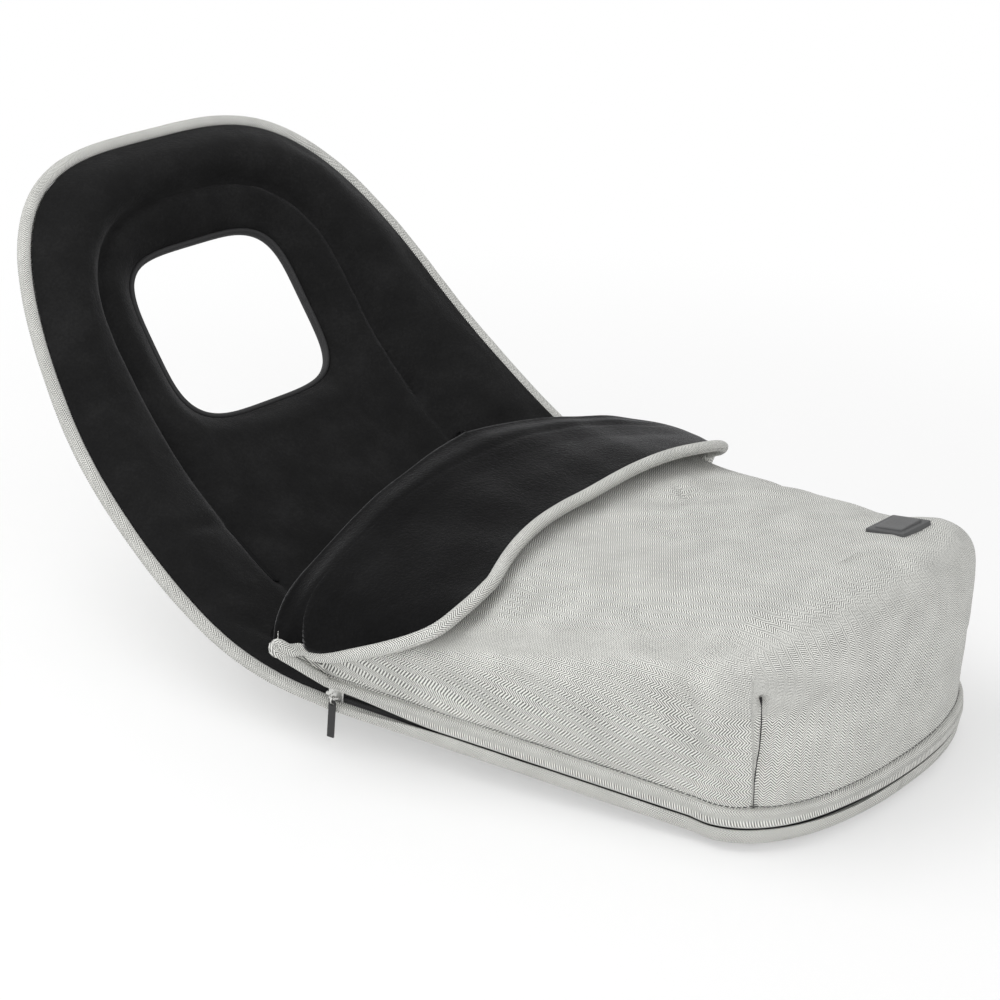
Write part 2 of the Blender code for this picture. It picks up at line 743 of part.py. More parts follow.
def build_base():
    """Adds the half of the panel that lies flat on the seat."""
    lower_rows = []
    upper_rows = []
    runs = base_runs(LAYER_INSET)
    for run in runs:
        lower_row = []
        upper_row = []
        for part in ACROSS_SHARES:
            across = part * half_width(run, LAYER_INSET)
            for face, row in ((underside, lower_row), (topside, upper_row)):
                lift = face(across, run)
                place = hinge_run(lift, -1.0) if run == runs[-1] else run
                row.append(on_panel(across, place, lift))
        lower_rows.append(lower_row)
        upper_rows.append(upper_row)
    layers, lined = padded_panel("base", "seat_liner", lower_rows, upper_rows, False)
    cutter = slot_cutter("crotch_slot_cutter", 0.0, CROTCH_SLOT_RUN, CROTCH_SLOT_LENGTH, SLOT_WIDTH)
    for layer in layers:
        cut_slot(layer, cutter)
    piping = slot_piping(
        "crotch_slot_piping", lined, 0.0, CROTCH_SLOT_RUN, 0.5 * CROTCH_SLOT_LENGTH, 0.5 * SLOT_WIDTH)
    line = []
    for side, run in mirrored(list(reversed(base_runs(BINDING_RADIUS)))):
        if run == HINGE_RUN:
            run = hinge_run(edge_lift(run) + BINDING_RADIUS, -1.0)
        line.append(on_panel(side * half_width(run, BINDING_RADIUS), run, edge_lift(run)))
    binding = tube("base_binding", line, BINDING_RADIUS, "herringbone_cloth")
    return layers + [piping, binding]


def back_outline(inset):
    """Returns (across, run) places round the back: up its right side, round the head, down, and along the hinge."""
    angles = list(HEAD_ANGLES) + [RIGHT_ANGLE]
    side = [HINGE_RUN] + [head_run(angle, inset) for angle in HEAD_ANGLES]
    right = [(half_width(run, inset), run) for run in side]
    top = [(0.0, PANEL_LENGTH - inset)]
    left = [(-across, run) for across, run in reversed(right)]
    return right + top + left


def opening_place(angle, room):
    """Returns the place on the head opening's rim, widened by some room, seen at an angle from its middle."""
    wide = abs(math.cos(angle)) / (OPENING_HALF_WIDTH + room)
    long = abs(math.sin(angle)) / (OPENING_HALF_LENGTH + room)
    radius = (wide ** OPENING_POWER + long ** OPENING_POWER) ** (-1.0 / OPENING_POWER)
    return radius * math.cos(angle), OPENING_RUN + radius * math.sin(angle)


def seam_share(rim, edge):
    """Returns how far the arched seam lies along a line from the opening's rim to the edge."""
    low, high = SEAM_LIMIT_SHARES
    for _ in range(SEAM_SEARCH_STEPS):
        middle = 0.5 * (low + high)
        if seam_level(mix(rim[0], edge[0], middle), mix(rim[1], edge[1], middle)) < 1.0:
            low = middle
        else:
            high = middle
    return 0.5 * (low + high)


def build_back():
    """Adds the half of the panel that leans on the backrest, with its head opening."""
    outer = back_outline(LAYER_INSET)
    hinge_width = half_width(HINGE_RUN, LAYER_INSET)
    outer += [(-part * hinge_width, HINGE_RUN) for part in HINGE_SHARES]
    room = 2.0 * (OPENING_PIPING_RADIUS + GAP)
    lower_columns = []
    upper_columns = []
    for edge in outer:
        rim = opening_place(math.atan2(edge[1] - OPENING_RUN, edge[0]), room)
        seam = seam_share(rim, edge)
        parts = [seam * part for part in INNER_SHARES] + [mix(seam, 1.0, part) for part in BOLSTER_SHARES]
        for face, columns in ((underside, lower_columns), (topside, upper_columns)):
            end_run = edge[1]
            if end_run == HINGE_RUN:
                end_run = hinge_run(face(*edge), 1.0)
            column = []
            for part in reversed(parts):
                across = mix(rim[0], edge[0], part)
                run = mix(rim[1], end_run, part)
                column.append(on_panel(across, run, face(across, run)))
            columns.append(column)
    lower_rows = list(zip(*lower_columns))
    upper_rows = list(zip(*upper_columns))
    layers, lined = padded_panel("back", "back_liner", lower_rows, upper_rows, True)
    pieces = list(layers)
    for side, name in ((-1.0, "left"), (1.0, "right")):
        across = side * LAP_SLOT_ACROSS
        cutter = slot_cutter("lap_slot_cutter_" + name, across, LAP_SLOT_RUN, SLOT_WIDTH, LAP_SLOT_LENGTH)
        for layer in layers:
            cut_slot(layer, cutter)
        pieces.append(slot_piping(
            "lap_slot_piping_" + name, lined, across, LAP_SLOT_RUN, 0.5 * SLOT_WIDTH, 0.5 * LAP_SLOT_LENGTH))
    line = []
    for across, run in back_outline(BINDING_RADIUS):
        if run == HINGE_RUN:
            run = hinge_run(edge_lift(run) + BINDING_RADIUS, 1.0)
            across = math.copysign(half_width(run, BINDING_RADIUS), across)
        line.append(on_panel(across, run, edge_lift(run)))
    pieces.append(tube("back_binding", line, BINDING_RADIUS, "herringbone_cloth"))
    rim = []
    for step in range(OPENING_STEPS):
        angle = 2.0 * math.pi * step / OPENING_STEPS
        across, run = opening_place(angle, OPENING_PIPING_RADIUS)
        rim.append(on_panel(across, run, 0.5 * (underside(across, run) + topside(across, run))))
    pieces.append(tube("opening_piping", rim, OPENING_PIPING_RADIUS, "black_tape", closed=True))
    return pieces


def zip_strip(name, bottom, height, thickness, finish_name):
    """Adds one strip of the zip that runs round the toe, standing on the base's edge."""
    rows = [[], []]
    for side, run in mirrored(list(reversed(zip_runs(BINDING_RADIUS)))):
        for row, lift in zip(rows, (bottom, bottom + height)):
            row.append(above_edge(side, run, lift))
    strip = Surface(rows)
    piece = add_object(name, new_mesh(name, strip.points, strip.faces), finish_name)
    layer = piece.modifiers.new("thickness", "SOLIDIFY")
    layer.thickness = thickness
    layer.offset = 0.0
    layer.use_even_offset = True
    return piece


def zip_frame(run, side):
    """Returns a frame on the chain: X outward, Z up, and Y along the chain, toward the head on the right."""
    start, end = zip_ends()
    reach = end - start
    along = Vector((side * reach.x, reach.y, reach.z)).normalized() * side
    outward = Vector((side * reach.y, -reach.x, 0.0)).normalized()
    frame = Matrix((outward, along, outward.cross(along))).transposed().to_4x4()
    frame.translation = above_edge(side, run, chain_lift())
    return frame


def build_zip():
    """Adds the zip's halves, and returns what stays on the base and what moves with the cover."""
    lower = chain_lift() - 0.5 * CHAIN_SPLIT - CHAIN_HEIGHT
    upper = chain_lift() + 0.5 * CHAIN_SPLIT
    fixed = [
        zip_strip("zip_tape_base", lower - GAP - TAPE_HEIGHT, TAPE_HEIGHT, TAPE_THICKNESS, "black_tape"),
        zip_strip("zip_chain_base", lower, CHAIN_HEIGHT, CHAIN_THICKNESS, "zip_coil"),
    ]
    moving = [
        zip_strip("zip_chain_cover", upper, CHAIN_HEIGHT, CHAIN_THICKNESS, "zip_coil"),
        zip_strip("zip_tape_cover", upper + CHAIN_HEIGHT + GAP, TAPE_HEIGHT, TAPE_THICKNESS, "black_tape"),
    ]
    for side, name in ((-1.0, "left"), (1.0, "right")):
        bpy.ops.mesh.primitive_cube_add(size=1.0)
        stop = bpy.context.active_object
        stop.name = "zip_stop_" + name
        stop.data.transform(Matrix.Diagonal((CHAIN_THICKNESS, STOP_LENGTH, CHAIN_HEIGHT, 1.0)))
        frame = zip_frame(ZIP_END_RUN, side)
        beyond = side * (0.5 * STOP_LENGTH + GAP)
        shift = Vector((0.0, beyond, lower + 0.5 * CHAIN_HEIGHT - chain_lift()))
        stop.matrix_world = frame @ Matrix.Translation(shift)
        stop.data.materials.append(finish("zip_metal"))
        for holder in list(stop.users_collection):
            holder.objects.unlink(stop)
        bpy.data.collections[COLLECTION].objects.link(stop)
        fixed.append(stop)
    return fixed, moving


def build_cover():
    """Adds the cover's layers, its piping and its blank label."""
    side_runs = [mix(TOE_CORNER, MOUTH_END_RUN, part) for part in COVER_RUN_SHARES]
    inset = BINDING_RADIUS - PIPING_RADIUS
    runs = side_runs + [toe_run(angle, inset) for angle in reversed(TOE_ANGLES)]
    rows = []
    for angle in ARCH_ANGLES:
        rows.append([cover_point(run, math.radians(angle), side) for side, run in mirrored(runs)])
    outer = Surface(rows)
    wadding_depth = SHELL_CLOTH + LAYER_GAP
    liner_depth = wadding_depth + COVER_WADDING + LAYER_GAP
    pieces = [
        cloth("cover_shell", outer, 0.0, SHELL_CLOTH, "herringbone_cloth"),
        cloth("cover_liner", outer, liner_depth, LINER_CLOTH, "fleece_lining"),
    ]
    for name, portion in wadding_panels(outer):
        inner_depth = wadding_depth + COVER_WADDING
        pieces.append(filling("cover_wadding_" + name, portion, wadding_depth, portion, inner_depth))
    line = outer.edge_line(rows[0], PIPING_RADIUS, PIPING_RADIUS + GAP)
    layers = [(0.0, cover_thickness()), (wadding_depth, wadding_depth + COVER_WADDING)]
    line = cleared(line, outer, layers, PIPING_RADIUS + GAP)
    pieces.append(tube("cover_piping", line, PIPING_RADIUS, "herringbone_cloth"))
    pieces.append(build_label("label_patch", outer, LABEL_WIDTH, LABEL_DEPTH, 2.0 * GAP, LABEL_THICKNESS))
    lift = 2.0 * GAP + LABEL_THICKNESS + GAP
    badge_width = LABEL_WIDTH - 2.0 * BADGE_MARGIN
    badge_depth = LABEL_DEPTH - 2.0 * BADGE_MARGIN
    pieces.append(build_label("label_badge", outer, badge_width, badge_depth, lift, BADGE_THICKNESS))
    return pieces, outer


def wadding_panels(cover):
    """Returns the cover's wadding panels by name: a cap over the toe, and a left and a right side that meet on top."""
    toe = cover.portion(lambda middle: middle.y < TOE_CORNER)
    left = cover.portion(lambda middle: middle.y > TOE_CORNER and middle.x < 0.0)
    right = cover.portion(lambda middle: middle.y > TOE_CORNER and middle.x > 0.0)
    for side, panel in ((-1.0, left), (1.0, right)):
        for point in panel.points:
            point.x = side * max(side * point.x, GAP)
            point.y = max(point.y, TOE_CORNER + 3.0 * GAP)
    return (("toe", toe), ("left", left), ("right", right))


def build_label(name, cover, width, depth, lift, thickness):
    """Adds a thin patch that follows the cover's top."""
    rows = []
    for part_run in LABEL_SHARES:
        row = []
        for part_across in LABEL_SHARES:
            above = Vector((
                LABEL_ACROSS + (part_across - 0.5) * width,
                LABEL_RUN + (part_run - 0.5) * depth,
                2.0 * COVER_TOE_HEIGHT,
            ))
            place, normal = cover.seat(above, Vector((0.0, 0.0, -1.0)))
            row.append(place + normal * (lift + thickness))
        rows.append(row)
    return cloth(name, Surface(rows), 0.0, thickness, "label_rubber")


def build_flap():
    """Adds the folded-back flap and its bound hem, and returns them with the fold's middle."""
    rows = []
    for part in FLAP_DEPTH_SHARES:
        row = []
        for side, angle in mirrored(ARCH_ANGLES[1:]):
            turn = math.radians(angle)
            depth = mix(FLAP_DEPTH_CORNER, FLAP_DEPTH_MIDDLE, 1.0 - (1.0 - math.sin(turn)) ** FLAP_DEPTH_POWER)
            row.append(cover_point(MOUTH_END_RUN - part * depth, turn, side))
        rows.append(row)
    skin = Surface(rows, flip=True)
    columns = len(rows[0])
    lifted = []
    for row, part in enumerate(FLAP_DEPTH_SHARES):
        lifted_row = []
        for column, (_, angle) in enumerate(mirrored(ARCH_ANGLES[1:])):
            stand_off = mix(FLAP_STAND_OFF_CORNER, FLAP_STAND_OFF_MIDDLE, math.sin(math.radians(angle)))
            index = row * columns + column
            height = 2.0 * GAP + stand_off * part ** 0.7
            lifted_row.append(skin.points[index] + skin.normals[index] * height)
        lifted.append(lifted_row)
    under = Surface(lifted)
    wadding_depth = SHELL_CLOTH + LAYER_GAP
    liner_depth = wadding_depth + FLAP_WADDING + LAYER_GAP
    pieces = [
        cloth("flap_shell", under, 0.0, SHELL_CLOTH, "herringbone_cloth"),
        filling("flap_wadding", under, wadding_depth, under, wadding_depth + FLAP_WADDING),
        cloth("flap_liner", under, liner_depth, LINER_CLOTH, "fleece_lining"),
    ]
    depth = liner_depth + LINER_CLOTH
    line = under.edge_line(lifted[-1], 0.5 * depth, HEM_RADIUS + GAP)
    line = cleared(line, under, [(0.0, depth)], HEM_RADIUS + GAP)
    pieces.append(tube("hem_binding", line, HEM_RADIUS, "herringbone_cloth"))
    return pieces, lifted[0][len(ARCH_ANGLES) - 2]


def build_slider(name, side):
    """Adds a slider with its bridge and its pull, and returns the empties of the two joints."""
    frame = zip_frame(SLIDER_RUN, side)
    travel = add_empty("slider_joint_" + name, frame)
    half_height = 0.5 * SLIDER_HEIGHT
    half_gap = 0.5 * PLATE_GAP
    outer_face = half_gap + PLATE_THICKNESS
    half_neck = 0.5 * NECK_HEIGHT
    section = [
        (-outer_face, -half_height), (-half_gap, -half_height), (-half_gap, -half_neck),
        (half_gap, -half_neck), (half_gap, -half_height), (outer_face, -half_height),
        (outer_face, half_height), (half_gap, half_height), (half_gap, half_neck),
        (-half_gap, half_neck), (-half_gap, half_height), (-outer_face, half_height),
    ]
    body = plate("slider_body_" + name, section, [], SLIDER_LENGTH, "zip_metal")
    body.parent = travel
    body.rotation_euler = (RIGHT_ANGLE, 0.0, 0.0)
    bar = outer_face + BRIDGE_REACH
    arch = []
    for step in range(BRIDGE_STEPS + 1):
        angle = math.pi * step / BRIDGE_STEPS
        reach = outer_face + GAP + BRIDGE_WIRE + (BRIDGE_REACH - GAP - BRIDGE_WIRE) * math.sin(angle) ** 0.5
        arch.append((reach, -0.5 * BRIDGE_LENGTH * math.cos(angle), 0.0))
    bridge = tube("slider_bridge_" + name, arch, BRIDGE_WIRE, "zip_metal")
    bridge.parent = travel
    swing = add_empty("pull_joint_" + name, frame @ Matrix.Translation((bar, 0.0, 0.0)))
    drop = LINK_RADIUS - BRIDGE_WIRE - LINK_WIRE - GAP
    ring = []
    for step in range(LINK_STEPS):
        angle = 2.0 * math.pi * step / LINK_STEPS
        ring.append((LINK_RADIUS * math.sin(angle), 0.0, -drop + LINK_RADIUS * math.cos(angle)))
    link = tube("pull_link_" + name, ring, LINK_WIRE, "zip_metal", closed=True)
    link.parent = swing
    half_width_here = 0.5 * PULL_WIDTH
    outline = []
    for step in range(PULL_END_STEPS + 1):
        angle = math.pi * step / PULL_END_STEPS
        outline.append((half_width_here * math.cos(angle), half_width_here * math.sin(angle)))
    tail = PULL_LENGTH - PULL_WIDTH
    outline += [(-half_width_here, -tail), (half_width_here, -tail)]
    eye = []
    for step in range(PULL_END_STEPS):
        angle = -2.0 * math.pi * step / PULL_END_STEPS
        eye.append((PULL_EYE_RADIUS * math.cos(angle), PULL_EYE_RADIUS * math.sin(angle)))
    tab = plate("pull_tab_" + name, outline, [eye], PULL_THICKNESS, "pull_plastic")
    tab.parent = swing
    hang = drop + LINK_RADIUS + PULL_EYE_RADIUS - LINK_WIRE - GAP
    tab.location = (0.0, 0.0, -hang)
    tab.rotation_euler = (RIGHT_ANGLE, 0.0, RIGHT_ANGLE)
    return travel, swing


COLLECTION = "stroller_footmuff"
CUTTERS = "cutters"


def centre_on_origin():
    """Moves everything so that the footmuff stands on the origin, with its length centred on it."""
    bpy.context.view_layer.update()
    graph = bpy.context.evaluated_depsgraph_get()
    reach = []
    for piece in bpy.data.collections[COLLECTION].objects:
        if piece.type == "EMPTY":
            continue
        shape = piece.evaluated_get(graph).to_mesh()
        reach += [(piece.matrix_world @ vert.co).y for vert in shape.vertices]
        piece.evaluated_get(graph).to_mesh_clear()
    shift = Matrix.Translation((0.0, -0.5 * (min(reach) + max(reach)), 0.0))
    for name in (COLLECTION, CUTTERS):
        for piece in bpy.data.collections[name].objects:
            if piece.parent is None:
                piece.matrix_world = shift @ piece.matrix_world


def main():
    """Builds the footmuff."""
    for piece in list(bpy.data.objects):
        bpy.data.objects.remove(piece, do_unlink=True)
    for name in (COLLECTION, CUTTERS):
        bpy.context.scene.collection.children.link(bpy.data.collections.new(name))
    build_base()
    back = build_back()
    _, moving_zip = build_zip()
    cover, _ = build_cover()
    flap, fold = build_flap()
    back_hinge = add_empty("back_joint", Matrix.Translation(on_panel(0.0, HINGE_RUN, hinge_lift())))
    attach(back, back_hinge)
    toe_height = edge_lift(0.0) + chain_lift()
    cover_hinge = add_empty("cover_joint", Matrix.Translation((0.0, 0.0, toe_height)))
    attach(cover + moving_zip, cover_hinge)
    flap_hinge = add_empty("flap_joint", Matrix.Translation(fold))
    attach(flap, flap_hinge)
    attach([flap_hinge], cover_hinge)
    for side, name in ((-1.0, "left"), (1.0, "right")):
        travel, swing = build_slider(name, side)
        attach([swing], travel)
    centre_on_origin()
    bpy.context.view_layer.update()
    for piece in bpy.data.collections[COLLECTION].objects:
        if piece.type == "EMPTY":
            place = piece.matrix_world.translation
            direction = piece.matrix_world.to_3x3().col[1]
            print(piece.name, [round(value, 5) for value in place], [round(value, 5) for value in direction])


main()
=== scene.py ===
"""Stroller footmuff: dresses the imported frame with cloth, fleece, zip and label.

Metres, +Z up, toe to -Y. A place on the back panel is given as its distance across, its run of cloth from
the toe, and its lift off the underside, as in the part's source.
"""
import math

import bmesh
import bpy
import numpy as np
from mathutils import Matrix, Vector, noise
from mathutils.bvhtree import BVHTree


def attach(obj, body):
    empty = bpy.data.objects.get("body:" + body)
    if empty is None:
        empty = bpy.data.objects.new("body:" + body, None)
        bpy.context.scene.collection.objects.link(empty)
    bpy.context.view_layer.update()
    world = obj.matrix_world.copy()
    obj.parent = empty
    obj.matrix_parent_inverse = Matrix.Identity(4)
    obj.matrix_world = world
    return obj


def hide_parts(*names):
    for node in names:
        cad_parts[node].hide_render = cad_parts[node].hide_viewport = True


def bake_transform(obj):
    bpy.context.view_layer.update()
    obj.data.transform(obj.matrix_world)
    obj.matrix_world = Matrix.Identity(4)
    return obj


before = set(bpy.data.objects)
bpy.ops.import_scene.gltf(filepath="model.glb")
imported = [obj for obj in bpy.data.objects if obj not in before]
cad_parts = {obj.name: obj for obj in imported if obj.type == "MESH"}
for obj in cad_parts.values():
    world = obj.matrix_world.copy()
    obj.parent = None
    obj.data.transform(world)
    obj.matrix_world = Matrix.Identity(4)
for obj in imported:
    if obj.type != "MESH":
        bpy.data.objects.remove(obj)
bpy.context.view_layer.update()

# Where the toe lies on the frame's Y axis
TOE_Y = -0.3961
RIGHT_ANGLE = math.radians(90.0)
UP = np.array((0.0, 0.0, 1.0))
MIRRORED = np.array((-1.0, 1.0))

# Panel, as in the part
PANEL_LENGTH = 0.948
TOE_HALF_WIDTH = 0.147
HEAD_HALF_WIDTH = 0.239
TOE_CORNER = 0.0765
HEAD_CORNER = 0.610
TAPER_END = 0.365
WIDEST_RUN = 0.500
SIDE_SLOPE = (HEAD_HALF_WIDTH - TOE_HALF_WIDTH) / ((TAPER_END - TOE_CORNER) + 0.5 * (WIDEST_RUN - TAPER_END))
TOE_POWER = 2.29
HEAD_POWER = 3.57
FLAT_LENGTH = 0.321
BEND_RADIUS = 0.496
BACK_ANGLE = math.radians(49.0)
EDGE_LIFT_TOE = 0.010
EDGE_LIFT_ZIP = 0.036
EDGE_LIFT_HEAD = 0.047
EDGE_RISE_START = 0.0635
EDGE_RISE_ZIP = 0.380
EDGE_RISE_HEAD = 0.654
PAD_THICKNESS = 0.022
EDGE_THICKNESS = 0.0062
EDGE_ROUNDING = 0.050
RIM_THICKNESS = 0.0075
RIM_ROUNDING = 0.028
BOLSTER_RISE = 0.011
SEAM_PINCH = 0.007
SEAM_PINCH_REACH = 0.012
BOLSTER_START = 0.440
BOLSTER_FULL = 0.600
BACK_LIFT = 0.008
BACK_LIFT_START = 0.400
BACK_LIFT_FULL = 0.650
FLAT_SHARE = 0.45
BOAT_POWER = 2.2
GAP = 0.0003
BINDING_RADIUS = 0.0045
LAYER_INSET = 2.0 * BINDING_RADIUS + 2.0 * GAP
OPENING_RUN = 0.768
OPENING_HALF_LENGTH = 0.0753
OPENING_HALF_WIDTH = 0.0855
OPENING_POWER = 3.96
OPENING_PIPING_RADIUS = 0.0025
OPENING_ROOM = 2.0 * (OPENING_PIPING_RADIUS + GAP)
SEAM_HALF_WIDTH = 0.133
SEAM_TOP_RUN = 0.887
SEAM_CORNER = 0.1235
SEAM_POWER = 2.64
LAP_SLOT_LENGTH = 0.062
LAP_SLOT_RUN = 0.552
LAP_SLOT_ACROSS = 0.137
CROTCH_SLOT_LENGTH = 0.050
CROTCH_SLOT_RUN = 0.405

# Cover and flap, as in the part
COVER_TOE_HEIGHT = 0.1733
COVER_WAIST_HEIGHT = 0.1200
COVER_WAIST_RUN = 0.342
COVER_RIDGE_START = 0.0582
COVER_POWER = 3.42
TOE_BOX_POWER = 4.7
TOE_BOX_RUN = 0.150
COVER_SWELL = 0.15
MOUTH_FOOT_RUN = 0.365
MOUTH_RIDGE_RUN = 0.240
MOUTH_END_RUN = 0.405
MOUTH_POWER = 1.5
CREST_HALF_WIDTH = 0.260
CREST_CORNER_ALONG = 0.368
CREST_CORNER_HEIGHT = 0.095
CREST_REACH = 0.051
CREST_HEIGHT = 0.171
CREST_POWER = 1.46
COVER_THICKNESS = 0.0095
PIPING_RADIUS = 0.0035
COVER_INSET = BINDING_RADIUS - PIPING_RADIUS
ZIP_END_RUN = 0.365
TAPE_HEIGHT = 0.002
CHAIN_HEIGHT = 0.0018
CHAIN_SPLIT = 0.002
CHAIN_LIFT = BINDING_RADIUS + GAP + TAPE_HEIGHT + GAP + CHAIN_HEIGHT + 0.5 * CHAIN_SPLIT
PIPING_LIFT = CHAIN_LIFT + 0.5 * CHAIN_SPLIT + CHAIN_HEIGHT + GAP + TAPE_HEIGHT + GAP + PIPING_RADIUS

# The flap from its left corner over the top to its right one: turns from the foot in degrees, and for each of
# them how far the flap reaches down the cover and how far its free edge stands off it
FLAP_TURNS = (0, 8, 14, 20, 28, 36, 54, 70, 82, 90, 98, 110, 118, 126, 144, 160, 172, 180)
FLAP_DEPTHS = (
    0.002, 0.012, 0.034, 0.064, 0.108, 0.138, 0.144, 0.130, 0.122, 0.118, 0.114, 0.108, 0.103, 0.099, 0.076, 0.040,
    0.010, 0.002)
FLAP_LIFTS = (
    0.001, 0.003, 0.0045, 0.006, 0.0075, 0.009, 0.009, 0.008, 0.009, 0.009, 0.010, 0.012, 0.013, 0.014, 0.013, 0.009,
    0.004, 0.001)
# Turns between which the flap's left shape goes over into its flatter right one
FLAP_RIGHT = (80.0, 130.0)
FLAP_COLUMNS = 150
FLAP_STAND_OFF = 0.0010
FLAP_PAD = 0.0075
FLAP_PAD_CORNER = 0.0020
FLAP_CROWN = 0.0045
FLAP_CROWN_RIGHT = 0.0006
FLAP_ROLL_CORNER = 0.003
# How far the lining's first rows lie inside the mouth
FLAP_TUCKS = (0.020, 0.009)
FLAP_LINING_HILLS = (0.050, 0.0022, 7.7)

# How far the hem lies off the flap's free edge, and its path at the flap's corners, as offsets from the crest's ends
HEM_OUT = 0.00253
HEM_FIRST_END = ((0.003, 0.0, -0.0030), (-0.0035, 0.0035, -0.0005), (-0.0010, 0.0030, 0.0045))
HEM_LAST_END = ((-0.004, -0.004, 0.0035), (0.0020, -0.004, 0.0010), (0.0030, -0.002, -0.0030))

# How the bound edges close over the zip behind its sliders, and where they part a little at the toe
ZIP_BARE = 0.010
ZIP_HIDDEN = 0.100
ZIP_PEEK = (-0.060, 0.012)
ZIP_PEEK_REACH = 0.034
ZIP_PEEK_SHARE = 0.20
LIP_CORNER = 0.0022
PANEL_LIP = (0.0032, 0.0046, 0.0018, 0.0058)
COVER_LIP = (0.0004, 0.0018, 0.0008, -0.0057)

# Sections of the cords: half their width and height, the power of their rounding, and the points round them. The
# panel's bound edge is a little uneven: how wide its hills are, and their share of its size
BINDING_SECTION = (0.0054, 0.0043, 2.5, 28)
BINDING_HILLS = (0.025, 0.05)
COVER_EDGE_SECTION = (0.0040, 0.0040, 2.4, 28)
COVER_EDGE_LIFT = 0.0004 - PIPING_RADIUS
HEM_SECTION = (0.0050, 0.0046, 2.4, 18)
RIM_SECTION = (0.0026, 0.0040, 2.4, 14)
SLOT_SECTION = (0.0017, 0.0011, 2.4, 10)
TAPE_SECTION = (0.0005, 0.0016, 4.0, 8)
# The darts' cord is painted shade: a thin dark line that draws the shade in each dart's seam
DART_SHADE_SECTION = (0.00055, 0.0005, 2.0, 8)

# The panel's grid: its columns, how they crowd towards its sides, the run where its rows end and the rings round
# the opening begin, and how far the lining reaches over the opening's edge
PANEL_COLUMNS = 96
PANEL_FAN = 0.93
SPLIT_RUN = 0.640
RIM_OVERLAP = 0.0012
# How far the rings' first row draws in to the middle between both faces
RIM_TUCK = 0.75

# Unevenness of the panel's faces: how wide and how high the hills are, and a seed. It starts beyond the edge and
# the opening's rim, on the shell only up the back
LINING_HILLS = ((0.060, 0.0018, 3.7), (0.017, 0.0006, 9.1))
LINING_CALM_EDGE = 0.012
LINING_CALM_RIM = 0.008
SHELL_HILLS = ((0.085, 0.0030, 5.3),)
SHELL_CALM_EDGE = 0.020
SHELL_CALM_RUNS = (0.34, 0.46)

# Creases of the lining, as (across, run) lines with their depth and reach. They start beyond the edge and the rim
CREASE_CALM_EDGE = 0.020
CREASE_CALM_RIM = 0.010
CREASES = (
    (((0.065, 0.693), (0.064, 0.661), (0.073, 0.627), (0.090, 0.600), (0.087, 0.565)), 0.0022, 0.009),
    (((-0.078, 0.682), (-0.0915, 0.607), (-0.1185, 0.580)), 0.0018, 0.009),
    (((-0.206, 0.587), (-0.176, 0.586), (-0.1423, 0.584)), 0.0024, 0.008),
    (((-0.213, 0.498), (-0.193, 0.4635), (-0.170, 0.452)), 0.0026, 0.009),
    (((0.205, 0.560), (0.170, 0.572), (0.135, 0.575)), 0.0020, 0.009),
    (((-0.100, 0.520), (0.0, 0.506), (0.110, 0.522)), 0.0022, 0.014),
)

# Folds of the cover, as lines of (across, distance from the toe, height), with their depth and reach
COVER_FOLDS = (
    (((-0.0955, 0.1766, 0.148), (-0.1248, 0.1407, 0.148), (-0.1466, 0.1031, 0.138), (-0.1573, 0.0817, 0.109),
      (-0.1516, 0.0756, 0.080), (-0.1476, 0.0631, 0.045)), 0.0026, 0.011),
    (((-0.1150, 0.2500, 0.136), (-0.1500, 0.2320, 0.132), (-0.1805, 0.2125, 0.1215)), 0.0020, 0.010),
    (((-0.150, 0.240, 0.125), (-0.185, 0.200, 0.100), (-0.195, 0.150, 0.062)), 0.0016, 0.014),
    (((0.050, 0.300, 0.140), (0.095, 0.240, 0.135), (0.120, 0.170, 0.140)), 0.0018, 0.016),
    (((0.1104, 0.2905, 0.1325), (0.098, 0.275, 0.1325), (0.0852, 0.2602, 0.1327)), 0.0030, 0.006),
    (((-0.020, 0.270, 0.133), (0.000, 0.210, 0.143), (0.012, 0.140, 0.156)), 0.0014, 0.018),
    (((0.160, 0.250, 0.115), (0.190, 0.200, 0.090), (0.195, 0.140, 0.062)), 0.0018, 0.015),
    (((-0.185, 0.330, 0.100), (-0.205, 0.270, 0.080), (-0.200, 0.210, 0.058)), 0.0020, 0.012),
)
FOLD_STRENGTH = 1.8
FOLD_BANK = 0.45

# The left dart from its foot up, in the same way, with the depth and reach of its seam, of the cloth that it pulls
# in and of the dimple at its top
DART = ((-0.1268, 0.0396, 0.0285), (-0.1291, 0.0366, 0.0524), (-0.1325, 0.0324, 0.0843), (-0.1324, 0.0318, 0.1205))
DART_RUN = 0.0365
DART_SEAM = (0.0030, 0.0016)
DART_PULL = (0.0016, 0.008)
DIMPLE = (0.0058, 0.0038)
# How far the darts' painted shade line stands off the cover, and the way out from the cover along which it is laid
DART_SHADE_STAND_OFF = 0.0001
DART_OUT = (-0.70, -0.70, 0.12)

# Unevenness of the cover: how wide and how high the hills are. Under the flap it is calm and lies a little lower
COVER_SLOW_HILLS = (0.060, 0.0044)
COVER_QUICK_HILLS = ((0.026, 0.045, 0.026), 0.0014)
COVER_CALM_FOOT = 0.025
UNDER_FLAP = (0.255, 0.315)
UNDER_FLAP_DROP = 0.0012
UNDER_FLAP_STEP = (0.004, 0.020)

# The cover's cloth: how steep its walls are and how high they reach, for its map, and its thickness at the foot
WALL_STEEP = (0.25, 0.8)
WALL_TOP = (0.105, 0.145)
FOOT_THICKNESS = 0.0016
FOOT_REACH = 0.020

# The seam along the cover's foot, with its depth and reach, and its stitches
EDGE_SEAM = (0.0014, 0.0014)
STITCH_HEIGHT = 0.0022
STITCH_SPACING = 0.0042
STITCH_LENGTH = 0.0030
STITCH_RADIUS = 0.00032
STITCH_LIFT = 0.0004
STITCH_WIDTH = 1.3
# How a stitch arches, as shares of its length and of its lift
STITCH_ARCH = ((0.0, -0.6), (0.2, 0.7), (0.5, 1.0), (0.8, 0.7), (1.0, -0.6))

